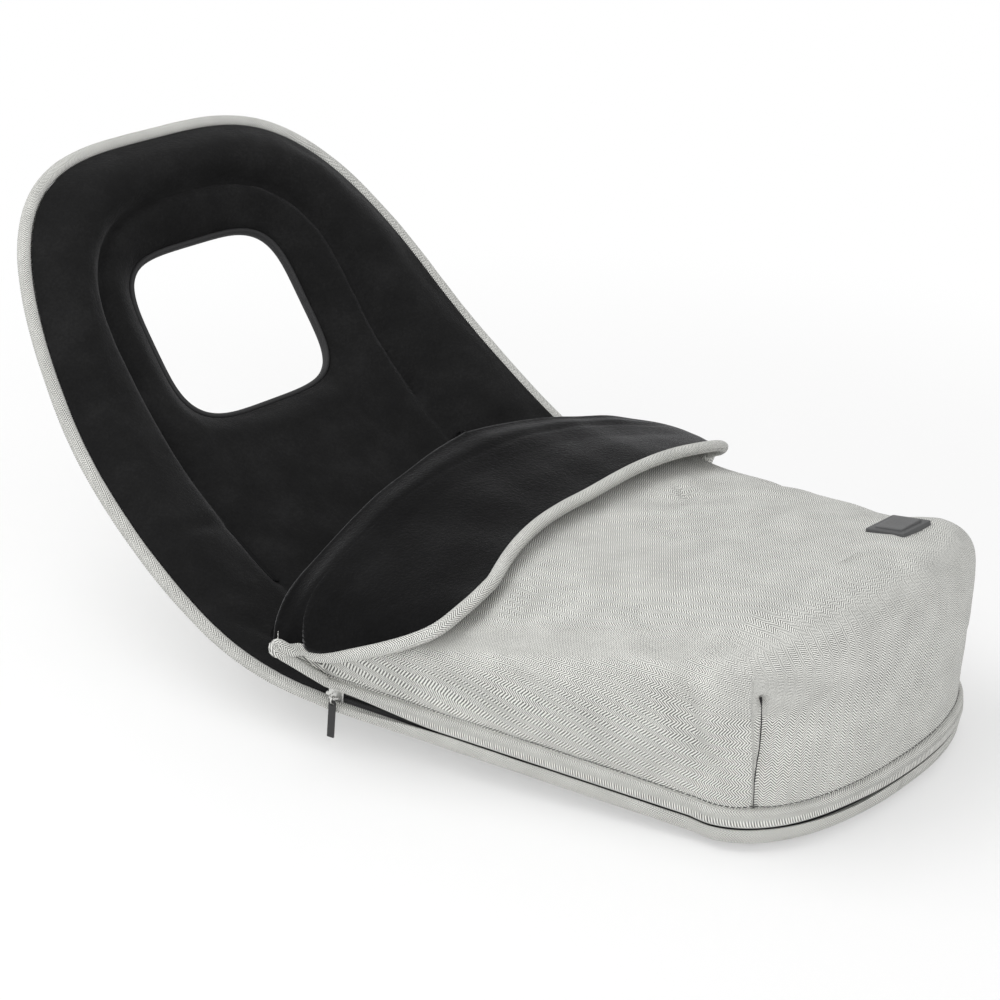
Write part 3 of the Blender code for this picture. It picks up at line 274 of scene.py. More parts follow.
# The zip's teeth, with half their sizes along, across and up, and the swell of each at shares of its height
TOOTH_PITCH = 0.0015
TOOTH_HALVES = (0.00047, 0.0011, 0.0012)
TOOTH_SWELLS = ((-1.0, 0.62), (-0.45, 1.0), (0.45, 1.0), (1.0, 0.55))

# The slits in the lining, and how far round them their tape lies
SLIT_HALF = 0.0004
SLOT_MARGIN = 0.0024
SLOT_LIFT = 0.0007

# The label's middle, as across and distance from the toe. Its plate and its raised field: width, depth, lift,
# thickness and the radius of their corners. Their rings from the foot up: inset, and share of the thickness
LABEL_ACROSS = 0.079
LABEL_RUN = 0.065
LABEL_BASE = (0.0375, 0.0335, 0.0008, 0.0018, 0.0018)
LABEL_FIELD = (0.0275, 0.0235, 0.0022, 0.0012, 0.0014)
LABEL_RINGS = ((0.0, -2.6), (0.0, 0.65), (0.0004, 0.92), (0.0011, 1.0))

# Camera, found from the photograph: turn, height and distance of its place round the point that it looks at
CAMERA_TURN = math.radians(-48.56)
CAMERA_HEIGHT = math.radians(23.27)
CAMERA_DISTANCE = 1.933
CAMERA_AIM = Vector((-0.0158, 0.371 + TOE_Y, 0.1337))
CAMERA_LENS = 88.3
CAMERA_SENSOR = 36.0

# Strength of the sky as a light, and the lamps: place, size and power
SKY_STRENGTH = 0.62
LAMPS = {"key": ((-0.9, 0.9, 2.3), (2.2, 2.2), 32.0), "fill": ((-1.6, -2.4, 1.5), (2.4, 2.0), 26.0)}
LAMP_AIM = (0.0, 0.0, 0.1)

# The floor, and how far out it fades to white
FLOOR_HALF = 6.0
FLOOR_LEVEL = -0.0006
FLOOR_FADE = {"From Min": 0.45, "From Max": 1.10, "To Min": 0.42, "To Max": 1.0}


# -------------------------------- shape functions, on arrays

def share(value, start, end):
    return np.clip((value - start) / (end - start), 0.0, 1.0)


def smooth(part):
    return part * part * (3.0 - 2.0 * part)


def eased(value, start, end):
    return smooth(share(value, start, end))


def mix(start, end, part):
    return start + (end - start) * part


def bell(distance, reach):
    return np.exp(-(distance / reach) ** 2)


def unit(vectors):
    return vectors / np.maximum(np.linalg.norm(vectors, axis=-1, keepdims=True), 1e-12)


def run_lengths(points):
    """Distances gone along a line of points, or down each column of a grid."""
    steps = np.linalg.norm(np.diff(points, axis=0), axis=-1)
    return np.concatenate((np.zeros((1, *steps.shape[1:])), np.cumsum(steps, axis=0)))


def join(*parts):
    """Places from their parts, such as across, run and lift, or x, y and z."""
    return np.stack(np.broadcast_arrays(*parts), axis=-1)


def level(side, end, power):
    """How far out a place lies by superellipses: 1 on the one whose half axes it is given in."""
    return (side ** power + end ** power) ** (1.0 / power)


def line_distance(points, line, by_length=False):
    """Distance of points from a line, and how far along it the nearest spot lies, by its corners or its length."""
    line = np.asarray(line, float)
    stations = run_lengths(line) if by_length else np.arange(len(line), dtype=float)
    stations = stations / stations[-1]
    best = np.full(points.shape[:-1], 1e9)
    where = np.zeros(points.shape[:-1])
    for start, end, begun, done in zip(line, line[1:], stations, stations[1:]):
        step = end - start
        part = np.clip((points - start) @ step / (step @ step), 0.0, 1.0)
        off = np.linalg.norm(points - start - part[..., None] * step, axis=-1)
        nearer = off < best
        best = np.where(nearer, off, best)
        where = np.where(nearer, mix(begun, done, part), where)
    return best, where


def spine(run):
    slope = np.clip((run - FLAT_LENGTH) / BEND_RADIUS, 0.0, BACK_ANGLE)
    straight = np.maximum(run - FLAT_LENGTH - BEND_RADIUS * BACK_ANGLE, 0.0)
    along = np.minimum(run, FLAT_LENGTH) + BEND_RADIUS * np.sin(slope) + straight * np.cos(slope)
    height = BEND_RADIUS * (1.0 - np.cos(slope)) + straight * np.sin(slope)
    return along, height, slope


def panel_up(run):
    """Normals of the panel."""
    slope = spine(run)[2]
    return join(0.0, -np.sin(slope), np.cos(slope))


def on_panel(across, run, lift):
    """Points on the panel, already in the frame's place."""
    along, height, slope = spine(run)
    return join(across, along - lift * np.sin(slope) + TOE_Y, height + lift * np.cos(slope))


def panel_width(run):
    straight = np.clip(run, TOE_CORNER, TAPER_END) - TOE_CORNER
    reach = WIDEST_RUN - TAPER_END
    bent = np.clip(run - TAPER_END, 0.0, reach)
    return TOE_HALF_WIDTH + SIDE_SLOPE * (straight + bent - bent * bent / (2.0 * reach))


def panel_rise(run):
    side = mix(EDGE_LIFT_TOE, EDGE_LIFT_ZIP, share(run, EDGE_RISE_START, EDGE_RISE_ZIP))
    return side + (EDGE_LIFT_HEAD - EDGE_LIFT_ZIP) * eased(run, EDGE_RISE_ZIP, EDGE_RISE_HEAD)


def zip_place(run):
    """Half width and lift of the straight line that the closed zip pulls the edge to."""
    start, end = (on_panel(panel_width(r) - BINDING_RADIUS, r, panel_rise(r)) for r in (TOE_CORNER, ZIP_END_RUN))
    along, height, slope = spine(run)
    ty, tz = np.cos(slope), np.sin(slope)
    part = ((along + TOE_Y - start[1]) * ty + (height - start[2]) * tz) / (
        (end[1] - start[1]) * ty + (end[2] - start[2]) * tz)
    x, y, z = (mix(first, last, part) for first, last in zip(start, end))
    return x + BINDING_RADIUS, (y - along - TOE_Y) * -tz + (z - height) * ty


def is_on_zip(run):
    return (run >= TOE_CORNER) & (run <= ZIP_END_RUN)


def side_width(run, inset):
    return np.where(is_on_zip(run), zip_place(run)[0], panel_width(run)) - inset


def edge_lift(run):
    return np.where(is_on_zip(run), zip_place(run)[1], panel_rise(run))


def end_share(run, inset):
    toe = share(run, TOE_CORNER, inset)
    head = share(run, PANEL_LENGTH - HEAD_CORNER, PANEL_LENGTH - inset)
    near_toe = run < TOE_CORNER
    return np.where(near_toe, toe, head), np.where(near_toe, TOE_POWER, HEAD_POWER)


def half_width(run, inset):
    end, power = end_share(run, inset)
    return side_width(run, inset) * np.maximum(1.0 - end ** power, 0.0) ** (1.0 / power)


def toe_run(angle, inset):
    rest = np.cos(np.radians(angle)) ** (2.0 / TOE_POWER)
    return inset + (TOE_CORNER - inset) * (1.0 - rest)


def head_runs(first, count, inset):
    """Runs beyond a first one, up to the head's end, spaced by their turn round the head."""
    start, reach = PANEL_LENGTH - HEAD_CORNER, HEAD_CORNER - inset
    first_angle = math.asin(((first - start) / reach) ** (HEAD_POWER / 2.0))
    angles = np.linspace(first_angle, RIGHT_ANGLE, count)[1:]
    return start + reach * np.sin(angles) ** (2.0 / HEAD_POWER)


def outline_level(across, run):
    end, power = end_share(run, LAYER_INSET)
    return level(np.abs(across) / side_width(run, LAYER_INSET), end, power)


def opening_level(across, run):
    return level(np.abs(across) / (OPENING_HALF_WIDTH + OPENING_ROOM),
                 np.abs(run - OPENING_RUN) / (OPENING_HALF_LENGTH + OPENING_ROOM), OPENING_POWER)


def opening_ring(angles, room):
    """Places round the opening, at a distance from its edge."""
    c, s = np.cos(angles), np.sin(angles)
    radius = 1.0 / level(np.abs(c) / (OPENING_HALF_WIDTH + room), np.abs(s) / (OPENING_HALF_LENGTH + room),
                         OPENING_POWER)
    return join(radius * c, OPENING_RUN + radius * s)


def seam_level(across, run):
    end = np.maximum(run - (SEAM_TOP_RUN - SEAM_CORNER), 0.0) / SEAM_CORNER
    return level(np.abs(across) / SEAM_HALF_WIDTH, end, SEAM_POWER)


def distance_outside(shape, across, run):
    step = 0.001
    slope_across = (shape(across + step, run) - shape(across - step, run)) / (2.0 * step)
    slope_run = (shape(across, run + step) - shape(across, run - step)) / (2.0 * step)
    return (shape(across, run) - 1.0) / np.maximum(np.hypot(slope_across, slope_run), 1.0 / PANEL_LENGTH)


def underside(across, run):
    keel = BACK_LIFT * eased(run, BACK_LIFT_START, BACK_LIFT_FULL)
    rim = edge_lift(run) - 0.5 * EDGE_THICKNESS
    climb = np.maximum(outline_level(across, run) - FLAT_SHARE, 0.0) / (1.0 - FLAT_SHARE)
    return keel + (rim - keel) * climb ** BOAT_POWER


def bolster(across, run):
    from_seam = distance_outside(seam_level, across, run)
    to_edge = np.maximum(-distance_outside(outline_level, across, run), 0.0)
    part = np.clip(from_seam / np.maximum(from_seam + to_edge, 1e-6), 0.0, 1.0)
    crown = np.where(from_seam > 0.0, BOLSTER_RISE * np.sin(math.pi * part ** 0.8), 0.0)
    pinch = SEAM_PINCH * (1.0 - share(np.abs(from_seam), 0.0, SEAM_PINCH_REACH)) ** 1.5
    return (crown - pinch) * eased(run, BOLSTER_START, BOLSTER_FULL)


def creases(across, run):
    drop = np.zeros(np.shape(across))
    for line, depth, reach in CREASES:
        off, along = line_distance(join(across, run), line, by_length=True)
        drop += depth * bell(off, reach) * np.sin(math.pi * np.clip(along, 0.04, 0.96)) ** 0.5
    return drop


def topside(across, run):
    to_edge = np.maximum(-distance_outside(outline_level, across, run), 0.0)
    from_rim = np.maximum(distance_outside(opening_level, across, run), 0.0)
    edge = np.sin(RIGHT_ANGLE * share(to_edge, 0.0, EDGE_ROUNDING))
    rim = np.sin(RIGHT_ANGLE * share(from_rim, 0.0, RIM_ROUNDING))
    padding = mix(EDGE_THICKNESS, mix(RIM_THICKNESS, PAD_THICKNESS, rim), edge)
    calm = eased(to_edge, 0.0, CREASE_CALM_EDGE) * eased(from_rim, 0.0, CREASE_CALM_RIM)
    return underside(across, run) + padding + bolster(across, run) - creases(across, run) * calm


def cover_point(run, turn, side):
    """Points of the cover's outer face, in the frame's place. Turn is in radians, from the foot to the ridge."""
    power = mix(TOE_BOX_POWER, COVER_POWER, eased(run, 0.0, TOE_BOX_RUN))
    cosine = np.where(turn >= RIGHT_ANGLE - 1e-9, 0.0, np.maximum(np.cos(turn), 0.0))
    sine = np.sin(turn)
    flare = share(run, mix(MOUTH_FOOT_RUN, MOUTH_RIDGE_RUN, sine ** 2), MOUTH_END_RUN) ** MOUTH_POWER
    run = np.minimum(run, MOUTH_FOOT_RUN)
    flat, rise = cosine ** (2.0 / power), sine ** (2.0 / power)
    swell = 1.0 + COVER_SWELL * np.sin(2.0 * turn)
    ridge = np.maximum(run, COVER_RIDGE_START)
    top = mix(COVER_TOE_HEIGHT, COVER_WAIST_HEIGHT, share(ridge, COVER_RIDGE_START, COVER_WAIST_RUN))
    along, ground, slope = spine(ridge + (run - ridge) * flat * swell)
    across = side * half_width(run, COVER_INSET) * flat * swell
    foot = edge_lift(run) * np.cos(slope) + PIPING_LIFT + PIPING_RADIUS + GAP
    back = edge_lift(run) * np.sin(slope) * (1.0 - rise)
    tunnel = join(across, along - back + TOE_Y, ground + mix(foot, top, rise))
    crest = join(side * CREST_HALF_WIDTH * cosine ** (2.0 / CREST_POWER),
                 CREST_CORNER_ALONG + CREST_REACH * sine + TOE_Y,
                 mix(CREST_CORNER_HEIGHT, CREST_HEIGHT, sine ** (2.0 / CREST_POWER)))
    return mix(tunnel, crest, flare[..., None])


def noise_at(points, size, seed=0.0):
    """Smooth noise at each of the points, with hills about a size wide."""
    offset = Vector((seed, 0.0, 0.0))
    values = [noise.noise(Vector(place) / size + offset) for place in points.reshape(-1, 3)]
    return np.reshape(values, points.shape[:-1])


def roughened(points, normals, size, depth, seed):
    """Moves points in and out along their normals by smooth noise."""
    return points + normals * (noise_at(points, size, seed) * depth)[..., None]


# -------------------------------- mesh helpers

def grid_normals(points):
    """Unit normals of a grid of points, rows crossed with columns."""
    return unit(np.cross(np.gradient(points, axis=0), np.gradient(points, axis=1)))


def add_object(name, data):
    made = bpy.data.objects.new(name, data)
    bpy.context.scene.collection.objects.link(made)
    return made


def add_mesh(name, verts, faces, uvs, material, merge=0.0, facing=None):
    """Adds a smooth mesh. uvs holds a place in metres of cloth for each vertex, facing is where it mostly looks."""
    mesh = bpy.data.meshes.new(name)
    mesh.from_pydata(np.asarray(verts, float).reshape(-1, 3).tolist(), [], faces)
    if uvs is not None:
        corners = np.zeros(len(mesh.loops), int)
        mesh.loops.foreach_get("vertex_index", corners)
        cloth = mesh.uv_layers.new(name="cloth")
        cloth.data.foreach_set("uv", np.asarray(uvs, float).reshape(-1, 2)[corners].ravel())
    work = bmesh.new()
    work.from_mesh(mesh)
    if merge:
        bmesh.ops.remove_doubles(work, verts=work.verts[:], dist=merge)
        bmesh.ops.dissolve_degenerate(work, dist=merge, edges=work.edges[:])
    bmesh.ops.recalc_face_normals(work, faces=work.faces[:])
    work.to_mesh(mesh)
    work.free()
    mesh.shade_smooth()
    mesh.materials.append(material)
    if facing and sum((face.normal * face.area for face in mesh.polygons), Vector()).dot(Vector(facing)) < 0.0:
        mesh.flip_normals()
    return add_object(name, mesh)


def grid_faces(rows, columns, ring=False, loop=False, flip=False, start=0):
    """Faces between rows of vertices. A ring closes each row, and a loop joins the last row to the first."""
    faces = []
    for row in range(rows if loop else rows - 1):
        here, beyond = start + row * columns, start + (row + 1) % rows * columns
        for column in range(columns if ring else columns - 1):
            beside = (column + 1) % columns
            face = (here + column, here + beside, beyond + beside, beyond + column)
            faces.append(face[::-1] if flip else face)
    return faces


def tube_faces(rows, columns, start=0, flip=False):
    """Faces of a tube of rings of vertices, with both its ends closed."""
    first = tuple(range(start, start + columns))
    last = tuple(range(start + (rows - 1) * columns, start + rows * columns))
    ends = [first, last[::-1]] if flip else [first[::-1], last]
    return grid_faces(rows, columns, ring=True, flip=flip, start=start) + ends


def point_at(distance, lengths, line):
    """Points at distances along a line whose own points lie at the lengths given."""
    return join(*(np.interp(distance, lengths, values) for values in line.T))


def resample(points, count, closed=False):
    """Evenly spaced points along a line that is already fine."""
    if closed:
        points = np.concatenate((points, points[:1]))
    lengths = run_lengths(points[:, :3])
    out = point_at(np.linspace(0.0, lengths[-1], count + (1 if closed else 0)), lengths, points)
    return out[:-1] if closed else out


def rounded_profile(half_wide, half_high, power, steps):
    """A rounded flat section, as (sideways, upward) places."""
    angles = np.arange(steps) * 2.0 * math.pi / steps
    c, s = np.cos(angles), np.sin(angles)
    radius = 1.0 / level(np.abs(c), np.abs(s), power)
    return join(half_wide * radius * c, half_high * radius * s)


def sweep(name, line, ups, profile, material, closed=False, sizes=None):
    """Adds a cord whose section keeps its upward direction along a line. sizes may swell it along the line."""
    line = np.asarray(line, float)
    ahead = unit(np.roll(line, -1, axis=0) - np.roll(line, 1, axis=0) if closed else np.gradient(line, axis=0))
    sideways = unit(np.cross(ahead, ups))
    upward = np.cross(sideways, ahead)
    scale = np.ones(len(line)) if sizes is None else sizes
    sections = np.broadcast_to(profile, (len(line), *profile.shape[-2:])) * scale[:, None, None]
    points = line[:, None] + sideways[:, None] * sections[..., :1] + upward[:, None] * sections[..., 1:]
    rows, columns = points.shape[:2]
    ring = profile[0] if profile.ndim == 3 else profile
    girth = run_lengths(np.concatenate((ring, ring[:1])))[:-1]
    uvs = join(girth, run_lengths(line)[:, None])
    if closed:
        faces = grid_faces(rows, columns, ring=True, loop=True, flip=True)
    else:
        faces = tube_faces(rows, columns, flip=True)
    return add_mesh(name, points, faces, uvs, material)


def dress(piece, body, slot, *nodes):
    """Lets a piece ride a body, in the place of the frame's nodes."""
    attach(piece, body)
    if nodes:
        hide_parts(*nodes)


# -------------------------------- materials

def shaded(base, factor):
    return tuple(min(factor * part, 1.0) for part in base)


class Paint:
    """A tree of nodes, with short ways to add to it. A value is a number, a colour or another node's output."""

    def __init__(self, owner):
        owner.use_nodes = True
        self.nodes, self.links = owner.node_tree.nodes, owner.node_tree.links

    def feed(self, node, values):
        for name, value in values.items():
            if isinstance(value, bpy.types.NodeSocket):
                self.links.new(value, node.inputs[name])
            else:
                node.inputs[name].default_value = value
        return node

    def add(self, kind, values):
        return self.feed(self.nodes.new(kind), values)

    def math(self, operation, *values):
        node = self.nodes.new("ShaderNodeMath")
        node.operation = operation
        return self.feed(node, dict(enumerate(values))).outputs[0]

    def weighted(self, offset, *terms):
        """An offset and values that are each multiplied by a weight, added up."""
        total = offset
        for value, weight in terms:
            total = self.math("MULTIPLY_ADD", value, weight, total)
        return total

    def ramp(self, value, *stops):
        node = self.add("ShaderNodeValToRGB", {0: value})
        elements = node.color_ramp.elements
        while len(elements) < len(stops):
            elements.new(0.5)
        for element, (place, colour) in zip(elements, stops):
            element.position = place
            element.color = (*colour, 1.0)
        return node.outputs[0]

    def tones(self, value, base, *stops):
        """A ramp through tones of one colour, each given by its place and how many times as bright it is."""
        return self.ramp(value, *((place, shaded(base, factor)) for place, factor in stops))

    def bump(self, height, distance, strength, under=None):
        node = self.add("ShaderNodeBump", {"Height": height, "Distance": distance, "Strength": strength})
        if under:
            self.feed(node, {"Normal": under})
        return node.outputs[0]

    def noise(self, vector, scale, detail, roughness=0.5):
        return self.add("ShaderNodeTexNoise", {
            "Vector": vector, "Scale": scale, "Detail": detail, "Roughness": roughness}).outputs[0]

    def cloth_map(self):
        """The cloth's own map in metres, and its two parts across and along."""
        uv = self.nodes.new("ShaderNodeUVMap")
        uv.uv_map = "cloth"
        split = self.add("ShaderNodeSeparateXYZ", {0: uv.outputs[0]})
        return uv.outputs[0], split.outputs[0], split.outputs[1]

    def object_place(self):
        return self.nodes.new("ShaderNodeTexCoord").outputs["Object"]

    def looked_at(self):
        """1 for what is seen by the camera, in a gloss or through something clear."""
        ray = self.nodes.new("ShaderNodeLightPath").outputs
        seen = self.math("MAXIMUM", ray["Is Camera Ray"], ray["Is Glossy Ray"])
        return self.math("MAXIMUM", seen, ray["Is Transmission Ray"])


def new_paint(name):
    made = bpy.data.materials.new(name)
    paint = Paint(made)
    return made, paint, paint.nodes["Principled BSDF"]


CLOTH_LIGHT = (0.74, 0.74, 0.705)
CLOTH_DARK = (0.085, 0.085, 0.082)
CLOTH_MIDDLE = tuple(0.55 * light + 0.45 * dark for light, dark in zip(CLOTH_LIGHT, CLOTH_DARK))
SHEEN_TINT = (0.9, 0.9, 0.92, 1.0)
WHITE = (1.0, 1.0, 1.0, 1.0)


def herringbone(name, column=0.0040, pitch=0.0021):
    """Melange twill whose diagonals turn back at each column, placed by the cloth's own map."""
    made, paint, shader = new_paint(name)
    cloth, across, run = paint.cloth_map()
    wobble = paint.weighted(-0.00045, (paint.noise(cloth, 160.0, 2.0), 0.0009))
    slanted = paint.math("ADD", paint.math("ADD", run, paint.math("PINGPONG", across, column)), wobble)
    wave = paint.math("SINE", paint.math("MULTIPLY", slanted, 2.0 * math.pi / pitch))
    yarn = paint.noise(cloth, 900.0, 2.0, 0.7)
    slub = paint.noise(cloth, 34.0, 3.0, 0.6)
    tone = paint.weighted(-0.03, (wave, 0.31), (yarn, 0.80), (slub, 0.22))
    paint.feed(shader, {
        "Base Color": paint.ramp(tone, (0.20, CLOTH_DARK), (0.38, CLOTH_MIDDLE), (0.55, CLOTH_LIGHT),
                                 (0.85, shaded(CLOTH_LIGHT, 1.22))),
        "Roughness": 0.88, "Specular IOR Level": 0.25, "Sheen Weight": 0.10, "Sheen Roughness": 0.5,
        "Normal": paint.bump(tone, 0.00045, 0.55, paint.bump(slub, 0.0010, 0.35))})
    return made


def fleece(name, base, sheen):
    """Brushed black fleece: short nap in soft patches that catches the light at a slant."""
    made, paint, shader = new_paint(name)
    place = paint.object_place()
    nap = paint.noise(place, 26.0, 4.0, 0.62)
    pile = paint.noise(place, 420.0, 3.0, 0.7)
    fibre = paint.noise(place, 1500.0, 2.0, 0.7)
    tone = paint.weighted(0.0, (nap, 0.55), (pile, 0.45))
    tuft = paint.bump(pile, 0.0009, 0.6, paint.bump(nap, 0.0016, 0.4))
    paint.feed(shader, {
        "Base Color": paint.tones(tone, base, (0.25, 0.62), (0.5, 1.0), (0.78, 1.75)),
        "Roughness": 0.95, "Specular IOR Level": 0.03, "Sheen Weight": sheen, "Sheen Roughness": 0.32,
        "Sheen Tint": SHEEN_TINT, "Normal": paint.bump(fibre, 0.0003, 0.5, tuft)})
    return made


def ribbed(name, base, roughness, pitch, specular=0.5, depth=0.0002):
    """Narrow woven tape, coil or thread with fine ribs across it."""
    made, paint, shader = new_paint(name)
    cloth, _, run = paint.cloth_map()
    wave = paint.math("SINE", paint.math("MULTIPLY", run, 2.0 * math.pi / pitch))
    height = paint.weighted(0.25, (wave, 0.3), (paint.noise(cloth, 700.0, 2.0, 0.6), 0.5))
    paint.feed(shader, {
        "Base Color": paint.tones(height, base, (0.1, 0.6), (0.55, 1.0), (1.0, 1.6)),
        "Roughness": roughness, "Specular IOR Level": specular, "Normal": paint.bump(height, depth, 0.7)})
    return made


def worn_metal(name, base, roughness):
    made, paint, shader = new_paint(name)
    wear = paint.noise(paint.object_place(), 900.0, 4.0, 0.6)
    paint.feed(shader, {
        "Base Color": paint.tones(wear, base, (0.3, 0.78), (0.6, 1.0), (0.9, 1.12)),
        "Roughness": paint.weighted(roughness - 0.12, (wear, 0.25)), "Metallic": 1.0,
        "Normal": paint.bump(wear, 0.00008, 0.4)})
    return made


def moulded(name, base, roughness, grain_scale, depth):
    made, paint, shader = new_paint(name)
    place = paint.object_place()
    grain = paint.noise(place, grain_scale, 3.0, 0.6)
    tone = paint.weighted(0.0, (grain, 0.35), (paint.noise(place, 60.0, 3.0), 0.65))
    paint.feed(shader, {
        "Base Color": paint.tones(tone, base, (0.3, 0.8), (0.5, 1.0), (0.72, 1.3)),
        "Roughness": paint.weighted(roughness - 0.1, (grain, 0.2)), "Normal": paint.bump(grain, depth, 0.6)})
    return made


cloth_cover = herringbone("herringbone_cover")
cloth_tape = herringbone("herringbone_tape", column=0.0036, pitch=0.0019)
cloth_shell = herringbone("herringbone_shell")
black_fleece = fleece("black_fleece", (0.0152, 0.0152, 0.0154), 0.15)
# The flap's fleece is the lining's fleece with its colour painted about half as dark, as painted shade on the flap; its
# stronger sheen is the shader's own
flap_fleece_painted_shade = fleece("flap_fleece_painted_shade", (0.0078, 0.0078, 0.0080), 0.32)
# This black tape also colours the darts' painted shade lines
black_tape_and_dart_shade = ribbed("woven_black_tape_and_dart_shade", (0.016, 0.016, 0.017), 0.72, 0.0012)
coil_black = ribbed("zip_coil_plastic", (0.012, 0.012, 0.013), 0.38, 0.0015, depth=0.0003)
metal = worn_metal("zip_metal_bright", (0.72, 0.72, 0.70), 0.30)
dark_plastic = moulded("pull_dark_plastic", (0.020, 0.020, 0.021), 0.45, 1400.0, 0.00012)
rubber = moulded("label_rubber_grey", (0.060, 0.061, 0.062), 0.55, 2200.0, 0.0002)
rubber_raised = moulded("label_rubber_raised", (0.072, 0.073, 0.074), 0.48, 2600.0, 0.0002)
stitch_thread = ribbed("stitch_thread", (0.060, 0.060, 0.058), 0.8, 0.0032)
slot_edge = ribbed("slot_edge_black", (0.0125, 0.0125, 0.013), 0.95, 0.0012, specular=0.05)


# -------------------------------- the panel

def panel_places():
    """Grids of (across, run) places: rows up to a place under the opening, and rings from its rim to the outline."""
    turns = np.linspace(-RIGHT_ANGLE, RIGHT_ANGLE, PANEL_COLUMNS + 1) * PANEL_FAN
    toe = toe_run(np.array([3.0, 7.0, 11.0, *np.linspace(15.0, 88.0, 18)]), LAYER_INSET)
    runs = np.concatenate((toe, np.linspace(TOE_CORNER, SPLIT_RUN, 118)[1:]))
    across = np.sin(turns) / math.sin(RIGHT_ANGLE * PANEL_FAN) * half_width(runs, LAYER_INSET)[:, None]
    head = head_runs(SPLIT_RUN, 66, LAYER_INSET)
    right = join(half_width(head, LAYER_INSET), head)
    right[-1, 0] = 0.0
    outer = np.concatenate((join(across[-1], SPLIT_RUN), right, right[:-1][::-1] * MIRRORED))
    rim = opening_ring(np.arctan2(outer[:, 1] - OPENING_RUN, outer[:, 0]), OPENING_ROOM - RIM_OVERLAP)
    ring = mix(rim, outer, np.linspace(0.0, 1.0, 44)[:, None, None])
    return (across, np.broadcast_to(runs[:, None], across.shape)), (ring[..., 0], ring[..., 1])


def build_panel():
    pieces = []
    places = panel_places()
    for name, face, material, up, hills in (
            ("panel_lining", topside, black_fleece, 1.0, LINING_HILLS),
            ("panel_shell", underside, cloth_shell, -1.0, SHELL_HILLS)):
        verts, faces, uvs, count = [], [], [], 0
        for (across, run), is_ring in zip(places, (False, True)):
            lift = face(across, run)
            if is_ring:
                middle = 0.5 * (underside(across[0], run[0]) + topside(across[0], run[0]))
                lift[0] = mix(lift[0], middle, RIM_TUCK)
            points = on_panel(across, run, lift)
            to_edge = -distance_outside(outline_level, across, run)
            if up > 0.0:
                from_rim = distance_outside(opening_level, across, run)
                calm = eased(to_edge, 0.0, LINING_CALM_EDGE) * eased(from_rim, 0.0, LINING_CALM_RIM)
            else:
                calm = eased(to_edge, 0.0, SHELL_CALM_EDGE) * eased(run, *SHELL_CALM_RUNS)
            rough = points
            for hill in hills:
                rough = roughened(rough, panel_up(run), *hill)
            verts.append(mix(points, rough, calm[..., None]).reshape(-1, 3))
            uvs.append(join(across, run).reshape(-1, 2))
            faces += grid_faces(*across.shape, ring=is_ring, start=count)
            count += across.size
        pieces.append(add_mesh(name, np.concatenate(verts), faces, np.concatenate(uvs), material, merge=2e-5,
                               facing=(0.0, -0.4, up)))
    return pieces


def outline_line(inset, count):
    """The panel's outline, from the middle of the toe up its right side and round the head, closed."""
    toe = toe_run(np.linspace(0.0, 90.0, 40), inset)
    toe[0] = inset
    side = np.linspace(TOE_CORNER, 0.60, 120)[1:]
    runs = np.concatenate((toe, side, head_runs(side[-1], 110, inset)))
    right = join(half_width(runs, inset), runs)
    right[[0, -1], 0] = 0.0
    return resample(np.concatenate((right, right[1:-1][::-1] * MIRRORED)), count, closed=True)


def lip_share(places, runs):
    """How far the bound edges hide the zip: not at all at its open end, a little less at one spot of the toe."""
    near_end = eased(ZIP_END_RUN - runs, ZIP_BARE, ZIP_HIDDEN)
    spot = np.hypot(places[:, 0] - ZIP_PEEK[0], places[:, 1] - TOE_Y - ZIP_PEEK[1])
    return near_end * (1.0 - ZIP_PEEK_SHARE * bell(spot, ZIP_PEEK_REACH))


def lipped(profile, shares, first, last, out, rise):
    """Sections whose outer edge is drawn out past the zip's teeth."""
    side, up = profile[:, 0], profile[:, 1]
    pull = eased(side, first, last) * eased(up * math.copysign(1.0, rise), 0.0, LIP_CORNER)
    return profile + (shares[:, None] * pull)[..., None] * np.array((out, rise))


def build_binding():
    """The folded tape round the panel's edge. Along the zip its outer side stands up and hides the teeth."""
    across, run = outline_line(BINDING_RADIUS, 620).T
    line = on_panel(across, run, edge_lift(run))
    sections = lipped(rounded_profile(*BINDING_SECTION), lip_share(line, run), *PANEL_LIP)
    return sweep("panel_binding", line, panel_up(run), sections, cloth_tape, closed=True,
                 sizes=1.0 + BINDING_HILLS[1] * noise_at(line, BINDING_HILLS[0]))


# -------------------------------- the cover

def cover_stations():
    """Runs and sides of the cover's columns, from the left of the mouth round the toe to the right."""
    mouth = np.linspace(MOUTH_END_RUN, MOUTH_FOOT_RUN - 0.06, 44)
    sides = np.linspace(MOUTH_FOOT_RUN - 0.06, TOE_CORNER, 96)[1:]
    toe = toe_run(np.array([*np.linspace(88.5, 5.0, 68), 3.5, 2.0, 0.0]), COVER_INSET)
    left = np.concatenate((mouth, sides, toe))
    return np.concatenate((left, left[:-1][::-1])), np.repeat((-1.0, 1.0), (len(left), len(left) - 1))


def nearest_on(points, line):
    """The points of a grid that lie nearest to those of a line."""
    flat = points.reshape(-1, 3)
    return np.array([flat[np.argmin(np.sum((flat - place) ** 2, axis=1))] for place in np.asarray(line)])


